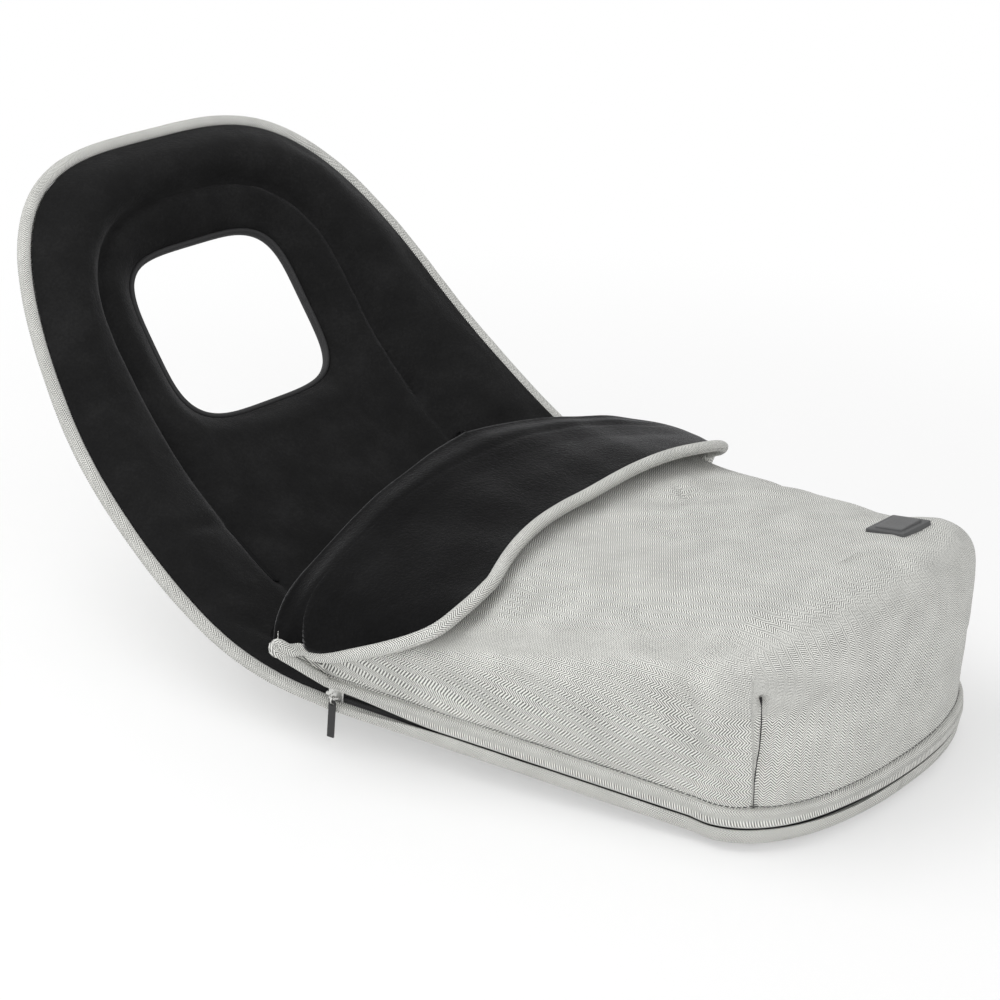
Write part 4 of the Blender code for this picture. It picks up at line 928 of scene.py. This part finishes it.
def cover_details(points, normals, foot_distance):
    """Moves the cover's points for its darts, its folds, its lower seam and a slight unevenness."""
    shift = np.zeros(points.shape[:-1])
    local = points - np.array((0.0, TOE_Y, 0.0))
    for mirror in (1.0, -1.0):
        line = nearest_on(local, np.array(DART) * (mirror, 1.0, 1.0))
        off = line_distance(local, line)[0]
        dimple = np.linalg.norm(local - line[-1], axis=-1)
        for distance, (depth, reach) in ((off, DART_SEAM), (off, DART_PULL), (dimple, DIMPLE)):
            shift -= depth * bell(distance, reach)
    for line, depth, reach in COVER_FOLDS:
        off, where = line_distance(local, nearest_on(local, line))
        fade = FOLD_STRENGTH * depth * np.sin(math.pi * np.clip(where, 0.03, 0.97)) ** 0.6
        shift -= fade * (bell(off, reach) - FOLD_BANK * bell(off - 1.7 * reach, reach))
    shift -= EDGE_SEAM[0] * bell(foot_distance - STITCH_HEIGHT, EDGE_SEAM[1])
    under_flap = eased(local[..., 1], *UNDER_FLAP)
    calm = eased(foot_distance, 0.0, COVER_CALM_FOOT) * (1.0 - 0.8 * under_flap)
    slow, quick = COVER_SLOW_HILLS, COVER_QUICK_HILLS
    shift += calm * (slow[1] * noise_at(points, slow[0], 2.2) + quick[1] * noise_at(points / quick[0], 1.0))
    shift = mix(shift, np.minimum(shift, 0.0) - UNDER_FLAP_DROP * eased(foot_distance, *UNDER_FLAP_STEP), under_flap)
    return points + normals * shift[..., None]


def cover_map(points, normals, runs, side):
    """The cloth's map on the cover. It is flat on top, and on the upright walls it follows the foot line round the
    toe's corners, so that the weave isn't sheared there."""
    hand = np.sign(side)
    plan = np.hypot(normals[..., 0], normals[..., 1])
    turned = np.where(plan < 1e-4, 0.5, np.abs(normals[..., 0]) ** 2 / np.maximum(plan ** 2, 1e-9))
    drop = (COVER_TOE_HEIGHT - points[..., 2]) * eased(plan, *WALL_STEEP)
    u = points[..., 0] + hand * drop * turned
    v = points[..., 1] - drop * (1.0 - turned)
    foot = points[0]
    middle = len(runs) // 2
    along = run_lengths(foot[:, :2])
    along -= along[middle]
    corner = int(np.argmin(np.abs(runs[:middle] - TOE_CORNER)))
    on_corner = runs < runs[corner]
    side_u = np.where(on_corner, hand * abs(foot[corner, 0]), foot[:, 0])
    side_v = np.where(on_corner, foot[corner, 1] + np.abs(along) - abs(along[corner]), foot[:, 1])
    offset_u, offset_v = (points[..., k] - foot[:, k] for k in (0, 1))
    beside = (runs > DART_RUN).astype(float)
    wall_u = mix(along + offset_u, side_u + offset_u + hand * drop, beside)
    wall_v = mix(foot[middle, 1] + offset_v - drop, side_v + offset_v, beside)
    above = eased(points[..., 2], *WALL_TOP)
    return join(mix(wall_u, u, above), mix(wall_v, v, above))


def build_cover():
    runs, side = cover_stations()
    turns = np.radians([0.0, 0.1, 0.3, 0.7, 1.3, 2.2, *np.linspace(3.2, 87.0, 104), 88.5, 90.0])
    points = cover_point(runs, turns[:, None], side)
    normals = grid_normals(points)
    normals *= math.copysign(1.0, np.sum(normals[..., 2]))
    # The ridge's row is where both halves meet, and its normals are those of the row before
    normals[-1] = normals[-2]
    from_foot = run_lengths(points)
    outer = cover_details(points, normals, from_foot)
    inner = outer - normals * mix(FOOT_THICKNESS, COVER_THICKNESS, eased(from_foot, 0.0, FOOT_REACH))[..., None]
    outer[-1, :, 0] = inner[-1, :, 0] = 0.0
    cloth = cover_map(points, normals, runs, side)
    shape = (len(turns), len(runs))
    return points, from_foot, add_mesh(
        "cover_outer", outer, grid_faces(*shape), cloth, cloth_cover, merge=4e-5, facing=(0.0, -0.3, 1.0)), add_mesh(
        "cover_lining", inner, grid_faces(*shape, flip=True), cloth, black_fleece, merge=4e-5, facing=(0.0, 0.3, -1.0))


# -------------------------------- the flap

def flap_turns():
    """Turns from the left corner over the top to the right one, in degrees, closer at both ends."""
    swing = np.cos(math.pi * np.linspace(0.0, 1.0, 4 * FLAP_COLUMNS))
    turns = np.sort(90.0 - 90.0 * swing * (0.35 + 0.65 * np.abs(swing) ** 0.5))
    return np.interp(np.linspace(0.0, 1.0, FLAP_COLUMNS), np.linspace(0.0, 1.0, len(turns)), turns)


def averaged(values, reach=7):
    """Values along a line, each averaged with its neighbours."""
    kernel = np.hanning(2 * reach + 1)
    return np.convolve(np.pad(values, reach, mode="edge"), kernel / kernel.sum(), mode="valid")


def flap_sheets():
    """The folded-back top as grids: the cover's face below it, normals, its underside, its top and its fullness."""
    turns = flap_turns()
    depths, lifts = (averaged(np.interp(turns, FLAP_TURNS, table)) for table in (FLAP_DEPTHS, FLAP_LIFTS))
    parts = np.concatenate((np.linspace(0.0, 0.2, 7), np.linspace(0.2, 1.0, 34)[1:]))[:, None]
    base = cover_point(MOUTH_END_RUN - parts * depths, np.radians(np.minimum(turns, 180.0 - turns)),
                       np.where(turns > 90.0, 1.0, -1.0))
    normals = grid_normals(base)
    normals *= math.copysign(1.0, normals[len(parts) // 2, len(turns) // 2, 2])
    # Smooth the sheet across, so that the flap bridges the cover's dips instead of copying them
    for _ in range(6):
        wide = np.pad(normals, ((1, 1), (1, 1), (0, 0)), mode="edge")
        normals = unit(wide[:-2, 1:-1] + wide[2:, 1:-1] + wide[1:-1, :-2] + wide[1:-1, 2:] + 2.0 * wide[1:-1, 1:-1])
    fullness = smooth(np.clip(np.sin(np.radians(turns)) * 1.5, 0.0, 1.0))
    right = eased(turns, *FLAP_RIGHT)
    under = base + normals * (FLAP_STAND_OFF + lifts * parts ** mix(0.75, 1.6, right))[..., None]
    swell = mix(0.22, 1.0, eased(parts, 0.0, 0.22)) * mix(1.0, 0.45, eased(parts, 0.72, 1.0))
    pad = mix(FLAP_PAD_CORNER, FLAP_PAD, fullness) * swell * mix(1.0, 0.6, right)
    crown = mix(FLAP_CROWN, FLAP_CROWN_RIGHT, right) * fullness * np.sin(math.pi * parts ** 0.8)
    return base, normals, under, under + normals * (pad + crown)[..., None], fullness


def build_flap():
    base, normals, under, top, fullness = flap_sheets()
    # Rows that take the lining from inside the mouth over the crest and onto the flap
    crest, up = base[0], normals[0]
    outward = base[0] - base[1]
    outward = unit(outward - up * np.sum(outward * up, axis=-1, keepdims=True))
    thick = mix(FLAP_ROLL_CORNER, COVER_THICKNESS, fullness)[:, None]
    rise = np.linalg.norm(top[0] - crest, axis=-1, keepdims=True)
    middle, half = 0.5 * (rise - thick), 0.5 * (rise + thick)
    roll = [crest + up * (middle - half * math.cos(angle)) + outward * half * 0.85 * math.sin(angle)
            for angle in np.linspace(0.0, math.pi, 9)[:-1]]
    inside = [crest - up * thick * 1.02 - outward * tuck for tuck in FLAP_TUCKS]
    rows = np.array([*inside, *roll, *top])
    rows_up = grid_normals(rows)
    rows_up *= math.copysign(1.0, rows_up[-len(base) // 2, rows.shape[1] // 2, 2])
    rows = roughened(rows, rows_up, *FLAP_LINING_HILLS)
    wide = run_lengths(crest)
    lining = add_mesh("flap_lining", rows, grid_faces(*rows.shape[:2]), join(wide, run_lengths(rows)), flap_fleece_painted_shade,
                      facing=(0.0, -0.2, 1.0))
    # The cloth stops a little short of both corners, where the hem covers its ends
    rows = under[:, 3:-3]
    cloth = add_mesh("flap_cloth", rows, grid_faces(*rows.shape[:2]), join(wide[3:-3], run_lengths(rows)), cloth_shell,
                     facing=(0.0, 0.2, -1.0))
    # The hem is a bound edge that runs round the flap's free edge. At each corner it turns round the end of the
    # fold and meets the cover's own bound edge
    line = 0.5 * (under[-1] + top[-1]) + unit(top[-1] - top[-2]) * HEM_OUT
    line = np.concatenate((crest[0] + HEM_FIRST_END, line[4:-6], crest[-1] + HEM_LAST_END))
    both = resample(np.concatenate((line, np.pad(normals[-1][4:-6], ((3, 3), (0, 0)), mode="edge")), axis=1), 420)
    for _ in range(5):
        both[1:-1] = (both[:-2] + 2.0 * both[1:-1] + both[2:]) / 4.0
    hem = sweep("flap_hem", both[:, :3], both[:, 3:], rounded_profile(*HEM_SECTION), cloth_tape)
    return lining, cloth, hem


cover_grid, cover_lengths, cover_outer, cover_lining = build_cover()
panel_lining, panel_shell = build_panel()
panel_binding = build_binding()
flap_lining, flap_cloth, hem = build_flap()

# The cover's bound edge, from one corner round the toe to the other
beginning = cover_grid[0] + UP * COVER_EDGE_LIFT
traced = resample(np.concatenate((beginning, cover_stations()[0][:, None]), axis=1), 640)
traced, traced_run = traced[:, :3], traced[:, 3]
cover_edge = lipped(rounded_profile(*COVER_EDGE_SECTION), lip_share(traced, traced_run), *COVER_LIP)
cover_binding = sweep("cover_binding", traced, UP, cover_edge, cloth_tape)


# -------------------------------- the zip

def zip_line(lift, count):
    """A line above the middle of the bound edge, from the zip's left end round the toe to its right."""
    toe = toe_run(np.linspace(90.0, 0.0, 60), BINDING_RADIUS)
    toe[-1] = BINDING_RADIUS
    runs = np.concatenate((np.linspace(ZIP_END_RUN, TOE_CORNER, 90), toe[1:]))
    left = join(-half_width(runs, BINDING_RADIUS), runs)
    left[-1, 0] = 0.0
    across, run = resample(np.concatenate((left, left[:-1][::-1] * MIRRORED)), count).T
    return on_panel(across, run, edge_lift(run)) + UP * lift


def tape_strip(name, lift, body, node):
    piece = sweep(name, zip_line(lift + 0.5 * TAPE_HEIGHT, 360), UP,
                  rounded_profile(*TAPE_SECTION), black_tape_and_dart_shade)
    dress(piece, body, "black_tape", node)


def coil_teeth(name, lift, up, body, node):
    """The zip's teeth on one side: small rounded loops, set close together."""
    line = zip_line(lift, 2400)
    line = resample(line, int(run_lengths(line)[-1] / TOOTH_PITCH))
    ahead = unit(np.gradient(line, axis=0))
    sideways = unit(np.cross(ahead, UP))
    fore, beside, upward = TOOTH_HALVES
    verts, faces, uvs = [], [], []
    for index, (place, along, across) in enumerate(zip(line, ahead, sideways)):
        faces += tube_faces(len(TOOTH_SWELLS), 4, start=len(verts))
        for height, swell in TOOTH_SWELLS:
            for fa, fb in ((-1, -1), (1, -1), (1, 1), (-1, 1)):
                spread = (along * fore * fa + across * beside * fb) * swell
                verts.append(place + spread + UP * upward * height * up)
                uvs.append((fb * beside, index * TOOTH_PITCH))
    dress(add_mesh(name, verts, faces, uvs, coil_black), body, "zip_coil", node)


chain_bottom = CHAIN_LIFT - 0.5 * CHAIN_SPLIT - CHAIN_HEIGHT
chain_top = CHAIN_LIFT + 0.5 * CHAIN_SPLIT
tape_strip("zip_tape_lower", chain_bottom - GAP - TAPE_HEIGHT, "base", "zip_tape_base")
tape_strip("zip_tape_upper", chain_top + CHAIN_HEIGHT + GAP, "cover", "zip_tape_cover")
coil_teeth("zip_teeth_lower", chain_bottom + 0.5 * CHAIN_HEIGHT, 1.0, "base", "zip_chain_base")
coil_teeth("zip_teeth_upper", chain_top + 0.5 * CHAIN_HEIGHT, -1.0, "cover", "zip_chain_cover")
for side in ("left", "right"):
    for part, finish in (
            ("slider_body", metal), ("slider_bridge", metal), ("pull_link", metal), ("pull_tab", dark_plastic),
            ("zip_stop", metal)):
        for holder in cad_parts[part + "_" + side].material_slots:
            holder.material = finish


# -------------------------------- slots and the opening's rim

def tree_of(piece):
    return BVHTree.FromObject(piece, bpy.context.evaluated_depsgraph_get())


lining_tree = tree_of(panel_lining)
cover_tree = tree_of(cover_outer)


def seated(across, run, lift):
    """A point on the lining at a place, and the panel's normal there."""
    normal = Vector(panel_up(np.float64(run)))
    above = Vector(on_panel(across, run, 0.12))
    return lining_tree.ray_cast(above, -normal)[0] + normal * lift, normal


def slot_binding(name, across, run, half_across, half_run, body, node):
    """Two lips of narrow tape round a slit in the lining."""
    angles = 2.0 * math.pi * (np.arange(48) + 0.5) / 48
    c, s = np.cos(angles), np.sin(angles)
    places = join(across + np.sign(c) * half_across + SLOT_MARGIN * c,
                  run + np.sign(s) * half_run + SLOT_MARGIN * s)
    line, ups = zip(*(seated(*place, SLOT_LIFT) for place in resample(places, 90, closed=True)))
    dress(sweep(name, line, ups, rounded_profile(*SLOT_SECTION), slot_edge, closed=True),
          body, "black_tape", node)


for side, way in (("left", -1.0), ("right", 1.0)):
    slot_binding("lap_slot_tape_" + side, way * LAP_SLOT_ACROSS, LAP_SLOT_RUN, SLIT_HALF, 0.5 * LAP_SLOT_LENGTH,
                 "back", "lap_slot_piping_" + side)
slot_binding("crotch_slot_tape", 0.0, CROTCH_SLOT_RUN, 0.5 * CROTCH_SLOT_LENGTH, SLIT_HALF,
             "base", "crotch_slot_piping")

rim_across, rim_run = resample(
    opening_ring(np.arange(240) * 2.0 * math.pi / 240, OPENING_PIPING_RADIUS), 240, closed=True).T
rim_lift = 0.5 * (underside(rim_across, rim_run) + topside(rim_across, rim_run))
opening_rim = sweep("opening_rim", on_panel(rim_across, rim_run, rim_lift), panel_up(rim_run),
                    rounded_profile(*RIM_SECTION), black_tape_and_dart_shade, closed=True)


# -------------------------------- label

def label_plate(name, width, depth, lift, thickness, corner, material, node):
    """A moulded plate with rounded corners and a softened edge, laid on the cover. It is blank."""
    rings = []
    for inset, height in LABEL_RINGS:
        radius = max(corner - inset, 0.0004)
        rings.append([(cx * (0.5 * width - corner) + radius * math.cos(angle),
                       cy * (0.5 * depth - corner) + radius * math.sin(angle), height)
                      for cx, cy, quarter in ((1, 1, 0), (-1, 1, 1), (-1, -1, 2), (1, -1, 3))
                      for angle in np.linspace(quarter * RIGHT_ANGLE, (quarter + 1) * RIGHT_ANGLE, 13)])
    for shrink in (0.86, 0.6, 0.3):
        rings.append([(x * shrink, y * shrink, 1.0) for x, y, _ in rings[3]])
    corners = [cover_tree.ray_cast(Vector((LABEL_ACROSS + sx * 0.4 * width, LABEL_RUN + TOE_Y + sy * 0.4 * depth, 0.3)),
                                   Vector((0.0, 0.0, -1.0)))[0] for sx, sy in ((-1, -1), (1, -1), (1, 1), (-1, 1))]
    middle = sum(corners, Vector()) / 4.0
    along = (corners[1] - corners[0] + corners[2] - corners[3]).normalized()
    normal = along.cross(corners[3] - corners[0] + corners[2] - corners[1]).normalized()
    beside = normal.cross(along)
    verts = [middle + along * x + beside * y + normal * (lift + thickness * height)
             for ring in rings for x, y, height in ring]
    count = len(rings[0])
    faces = grid_faces(len(rings), count, ring=True) + [tuple(range(len(verts) - count, len(verts)))]
    dress(add_mesh(name, verts, faces, None, material, facing=UP.tolist()), "cover", "label_rubber", node)


label_plate("label_base", *LABEL_BASE, rubber, "label_patch")
label_plate("label_field", *LABEL_FIELD, rubber_raised, "label_badge")


# -------------------------------- stitching, and the darts' painted shade lines

def stitches(name, line, ups, material):
    """A run of short thread stitches along a line."""
    lengths = run_lengths(line)
    verts, faces, uvs = [], [], []
    for index in range(max(int(lengths[-1] / STITCH_SPACING), 1)):
        start = (index + 0.1) * STITCH_SPACING
        faces += tube_faces(len(STITCH_ARCH), 6, start=len(verts))
        for part, rise in STITCH_ARCH:
            gone = start + part * STITCH_LENGTH
            up = point_at(gone, lengths, ups)
            place = point_at(gone, lengths, line) + up * (STITCH_LIFT * rise)
            before, after = (point_at(gone + step, lengths, line) for step in (-0.001, 0.001))
            beside = unit(np.cross(unit(after - before), up))
            for angle in np.arange(6) * math.pi / 3.0:
                verts.append(place + (beside * math.cos(angle) * STITCH_WIDTH + up * math.sin(angle)) * STITCH_RADIUS)
                uvs.append((STITCH_RADIUS * angle, start))
    return add_mesh(name, verts, faces, uvs, material)


seam = [cover_tree.find_nearest(Vector(point_at(STITCH_HEIGHT, cover_lengths[:, column], cover_grid[:, column])))[:2]
        for column in range(cover_grid.shape[1])]
seam_line, seam_ups = (resample(np.array(rows), 400) for rows in zip(*seam))
dress(stitches("cover_edge_stitches", seam_line, seam_ups, stitch_thread), "cover", "herringbone_cloth")

# Each dart gets a thin dark cord that is painted shade along its seam
for side, mirror in (("left", 1.0), ("right", -1.0)):
    outwards = Vector((DART_OUT[0] * mirror, *DART_OUT[1:])).normalized()
    toe_place = np.array((0.0, TOE_Y, 0.0))
    way = nearest_on(cover_grid - toe_place, np.array(DART) * (mirror, 1.0, 1.0)) + toe_place
    touched = [cover_tree.ray_cast(Vector(place) + outwards * 0.03, -outwards)[0] for place in resample(way, 60)]
    dart_shade_line = np.array([place + outwards * DART_SHADE_STAND_OFF for place in touched if place is not None])
    # The cord widens at its top end into the dimple's painted shade
    dart_shade_widths = 0.75 + 1.5 * eased(np.linspace(0.0, 1.0, len(dart_shade_line)), 0.93, 1.0)
    dress(sweep("cover_dart_painted_shade_" + side, dart_shade_line, outwards, rounded_profile(*DART_SHADE_SECTION), black_tape_and_dart_shade,
                sizes=dart_shade_widths), "cover", "black_tape")


# -------------------------------- riding and replacing

for piece, nodes, slot in (
        (panel_lining, ("seat_liner", "back_liner", "base_wadding", "back_wadding"), "fleece_lining"),
        (panel_shell, ("base_shell", "back_shell"), "herringbone_cloth"),
        (panel_binding, ("base_binding", "back_binding"), "herringbone_cloth")):
    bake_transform(piece)
    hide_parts(*nodes)
dress(opening_rim, "back", "black_tape", "opening_piping")

dress(cover_outer, "cover", "herringbone_cloth", "cover_shell", "cover_wadding_toe", "cover_wadding_left",
      "cover_wadding_right")
dress(cover_lining, "cover", "fleece_lining", "cover_liner")
dress(cover_binding, "cover", "herringbone_cloth", "cover_piping")

for piece, nodes, slot in (
        (flap_lining, ("flap_liner", "flap_wadding"), "fleece_lining"),
        (flap_cloth, ("flap_shell",), "herringbone_cloth"),
        (hem, ("hem_binding",), "herringbone_cloth")):
    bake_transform(piece)
    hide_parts(*nodes)


# -------------------------------- floor, light and camera

floor_mesh = bpy.data.meshes.new("floor")
floor_mesh.from_pydata([(x * FLOOR_HALF, y * FLOOR_HALF, FLOOR_LEVEL)
                        for x, y in ((-1, -1), (1, -1), (1, 1), (-1, 1))], [], [(0, 1, 2, 3)])
floor = add_object("floor", floor_mesh)
floor_paint, paint, shader = new_paint("floor_white")
paint.feed(shader, {"Base Color": (0.94, 0.94, 0.94, 1.0), "Roughness": 0.9})
far = paint.nodes.new("ShaderNodeVectorMath")
far.operation = "LENGTH"
paint.feed(far, {0: paint.nodes.new("ShaderNodeNewGeometry").outputs["Position"]})
fade = paint.nodes.new("ShaderNodeMapRange")
fade.interpolation_type = "SMOOTHSTEP"
paint.feed(fade, {"Value": far.outputs["Value"], **FLOOR_FADE})
whitened = paint.add("ShaderNodeMixShader", {
    0: paint.math("MULTIPLY", paint.looked_at(), fade.outputs[0]), 1: shader.outputs[0],
    2: paint.add("ShaderNodeEmission", {"Strength": 1.0}).outputs[0]})
paint.feed(paint.nodes["Material Output"], {"Surface": whitened.outputs[0]})
floor_mesh.materials.append(floor_paint)

world = bpy.data.worlds.new("studio")
bpy.context.scene.world = world
sky = Paint(world)
soft = sky.add("ShaderNodeBackground", {"Color": WHITE, "Strength": SKY_STRENGTH})
bright = sky.feed(sky.nodes["Background"], {"Color": WHITE, "Strength": 1.0})
both_skies = sky.add("ShaderNodeMixShader", {0: sky.looked_at(), 1: soft.outputs[0], 2: bright.outputs[0]})
sky.feed(sky.nodes["World Output"], {"Surface": both_skies.outputs[0]})

for name, (place, size, power) in LAMPS.items():
    lamp = bpy.data.lights.new(name, "AREA")
    lamp.shape = "RECTANGLE"
    lamp.size, lamp.size_y = size
    lamp.energy = power
    holder = add_object(name, lamp)
    holder.location = place
    holder.rotation_euler = (Vector(place) - Vector(LAMP_AIM)).to_track_quat("Z", "Y").to_euler()

camera = bpy.data.cameras.new("camera")
camera.lens = CAMERA_LENS
camera.sensor_width = CAMERA_SENSOR
eye = add_object("camera", camera)
backward = Vector((
    math.sin(CAMERA_TURN) * math.cos(CAMERA_HEIGHT),
    -math.cos(CAMERA_TURN) * math.cos(CAMERA_HEIGHT),
    math.sin(CAMERA_HEIGHT),
))
eye.location = CAMERA_AIM + backward * CAMERA_DISTANCE
eye.rotation_euler = backward.to_track_quat("Z", "Y").to_euler()
bpy.context.scene.camera = eye
bpy.context.scene.view_settings.view_transform = "Standard"
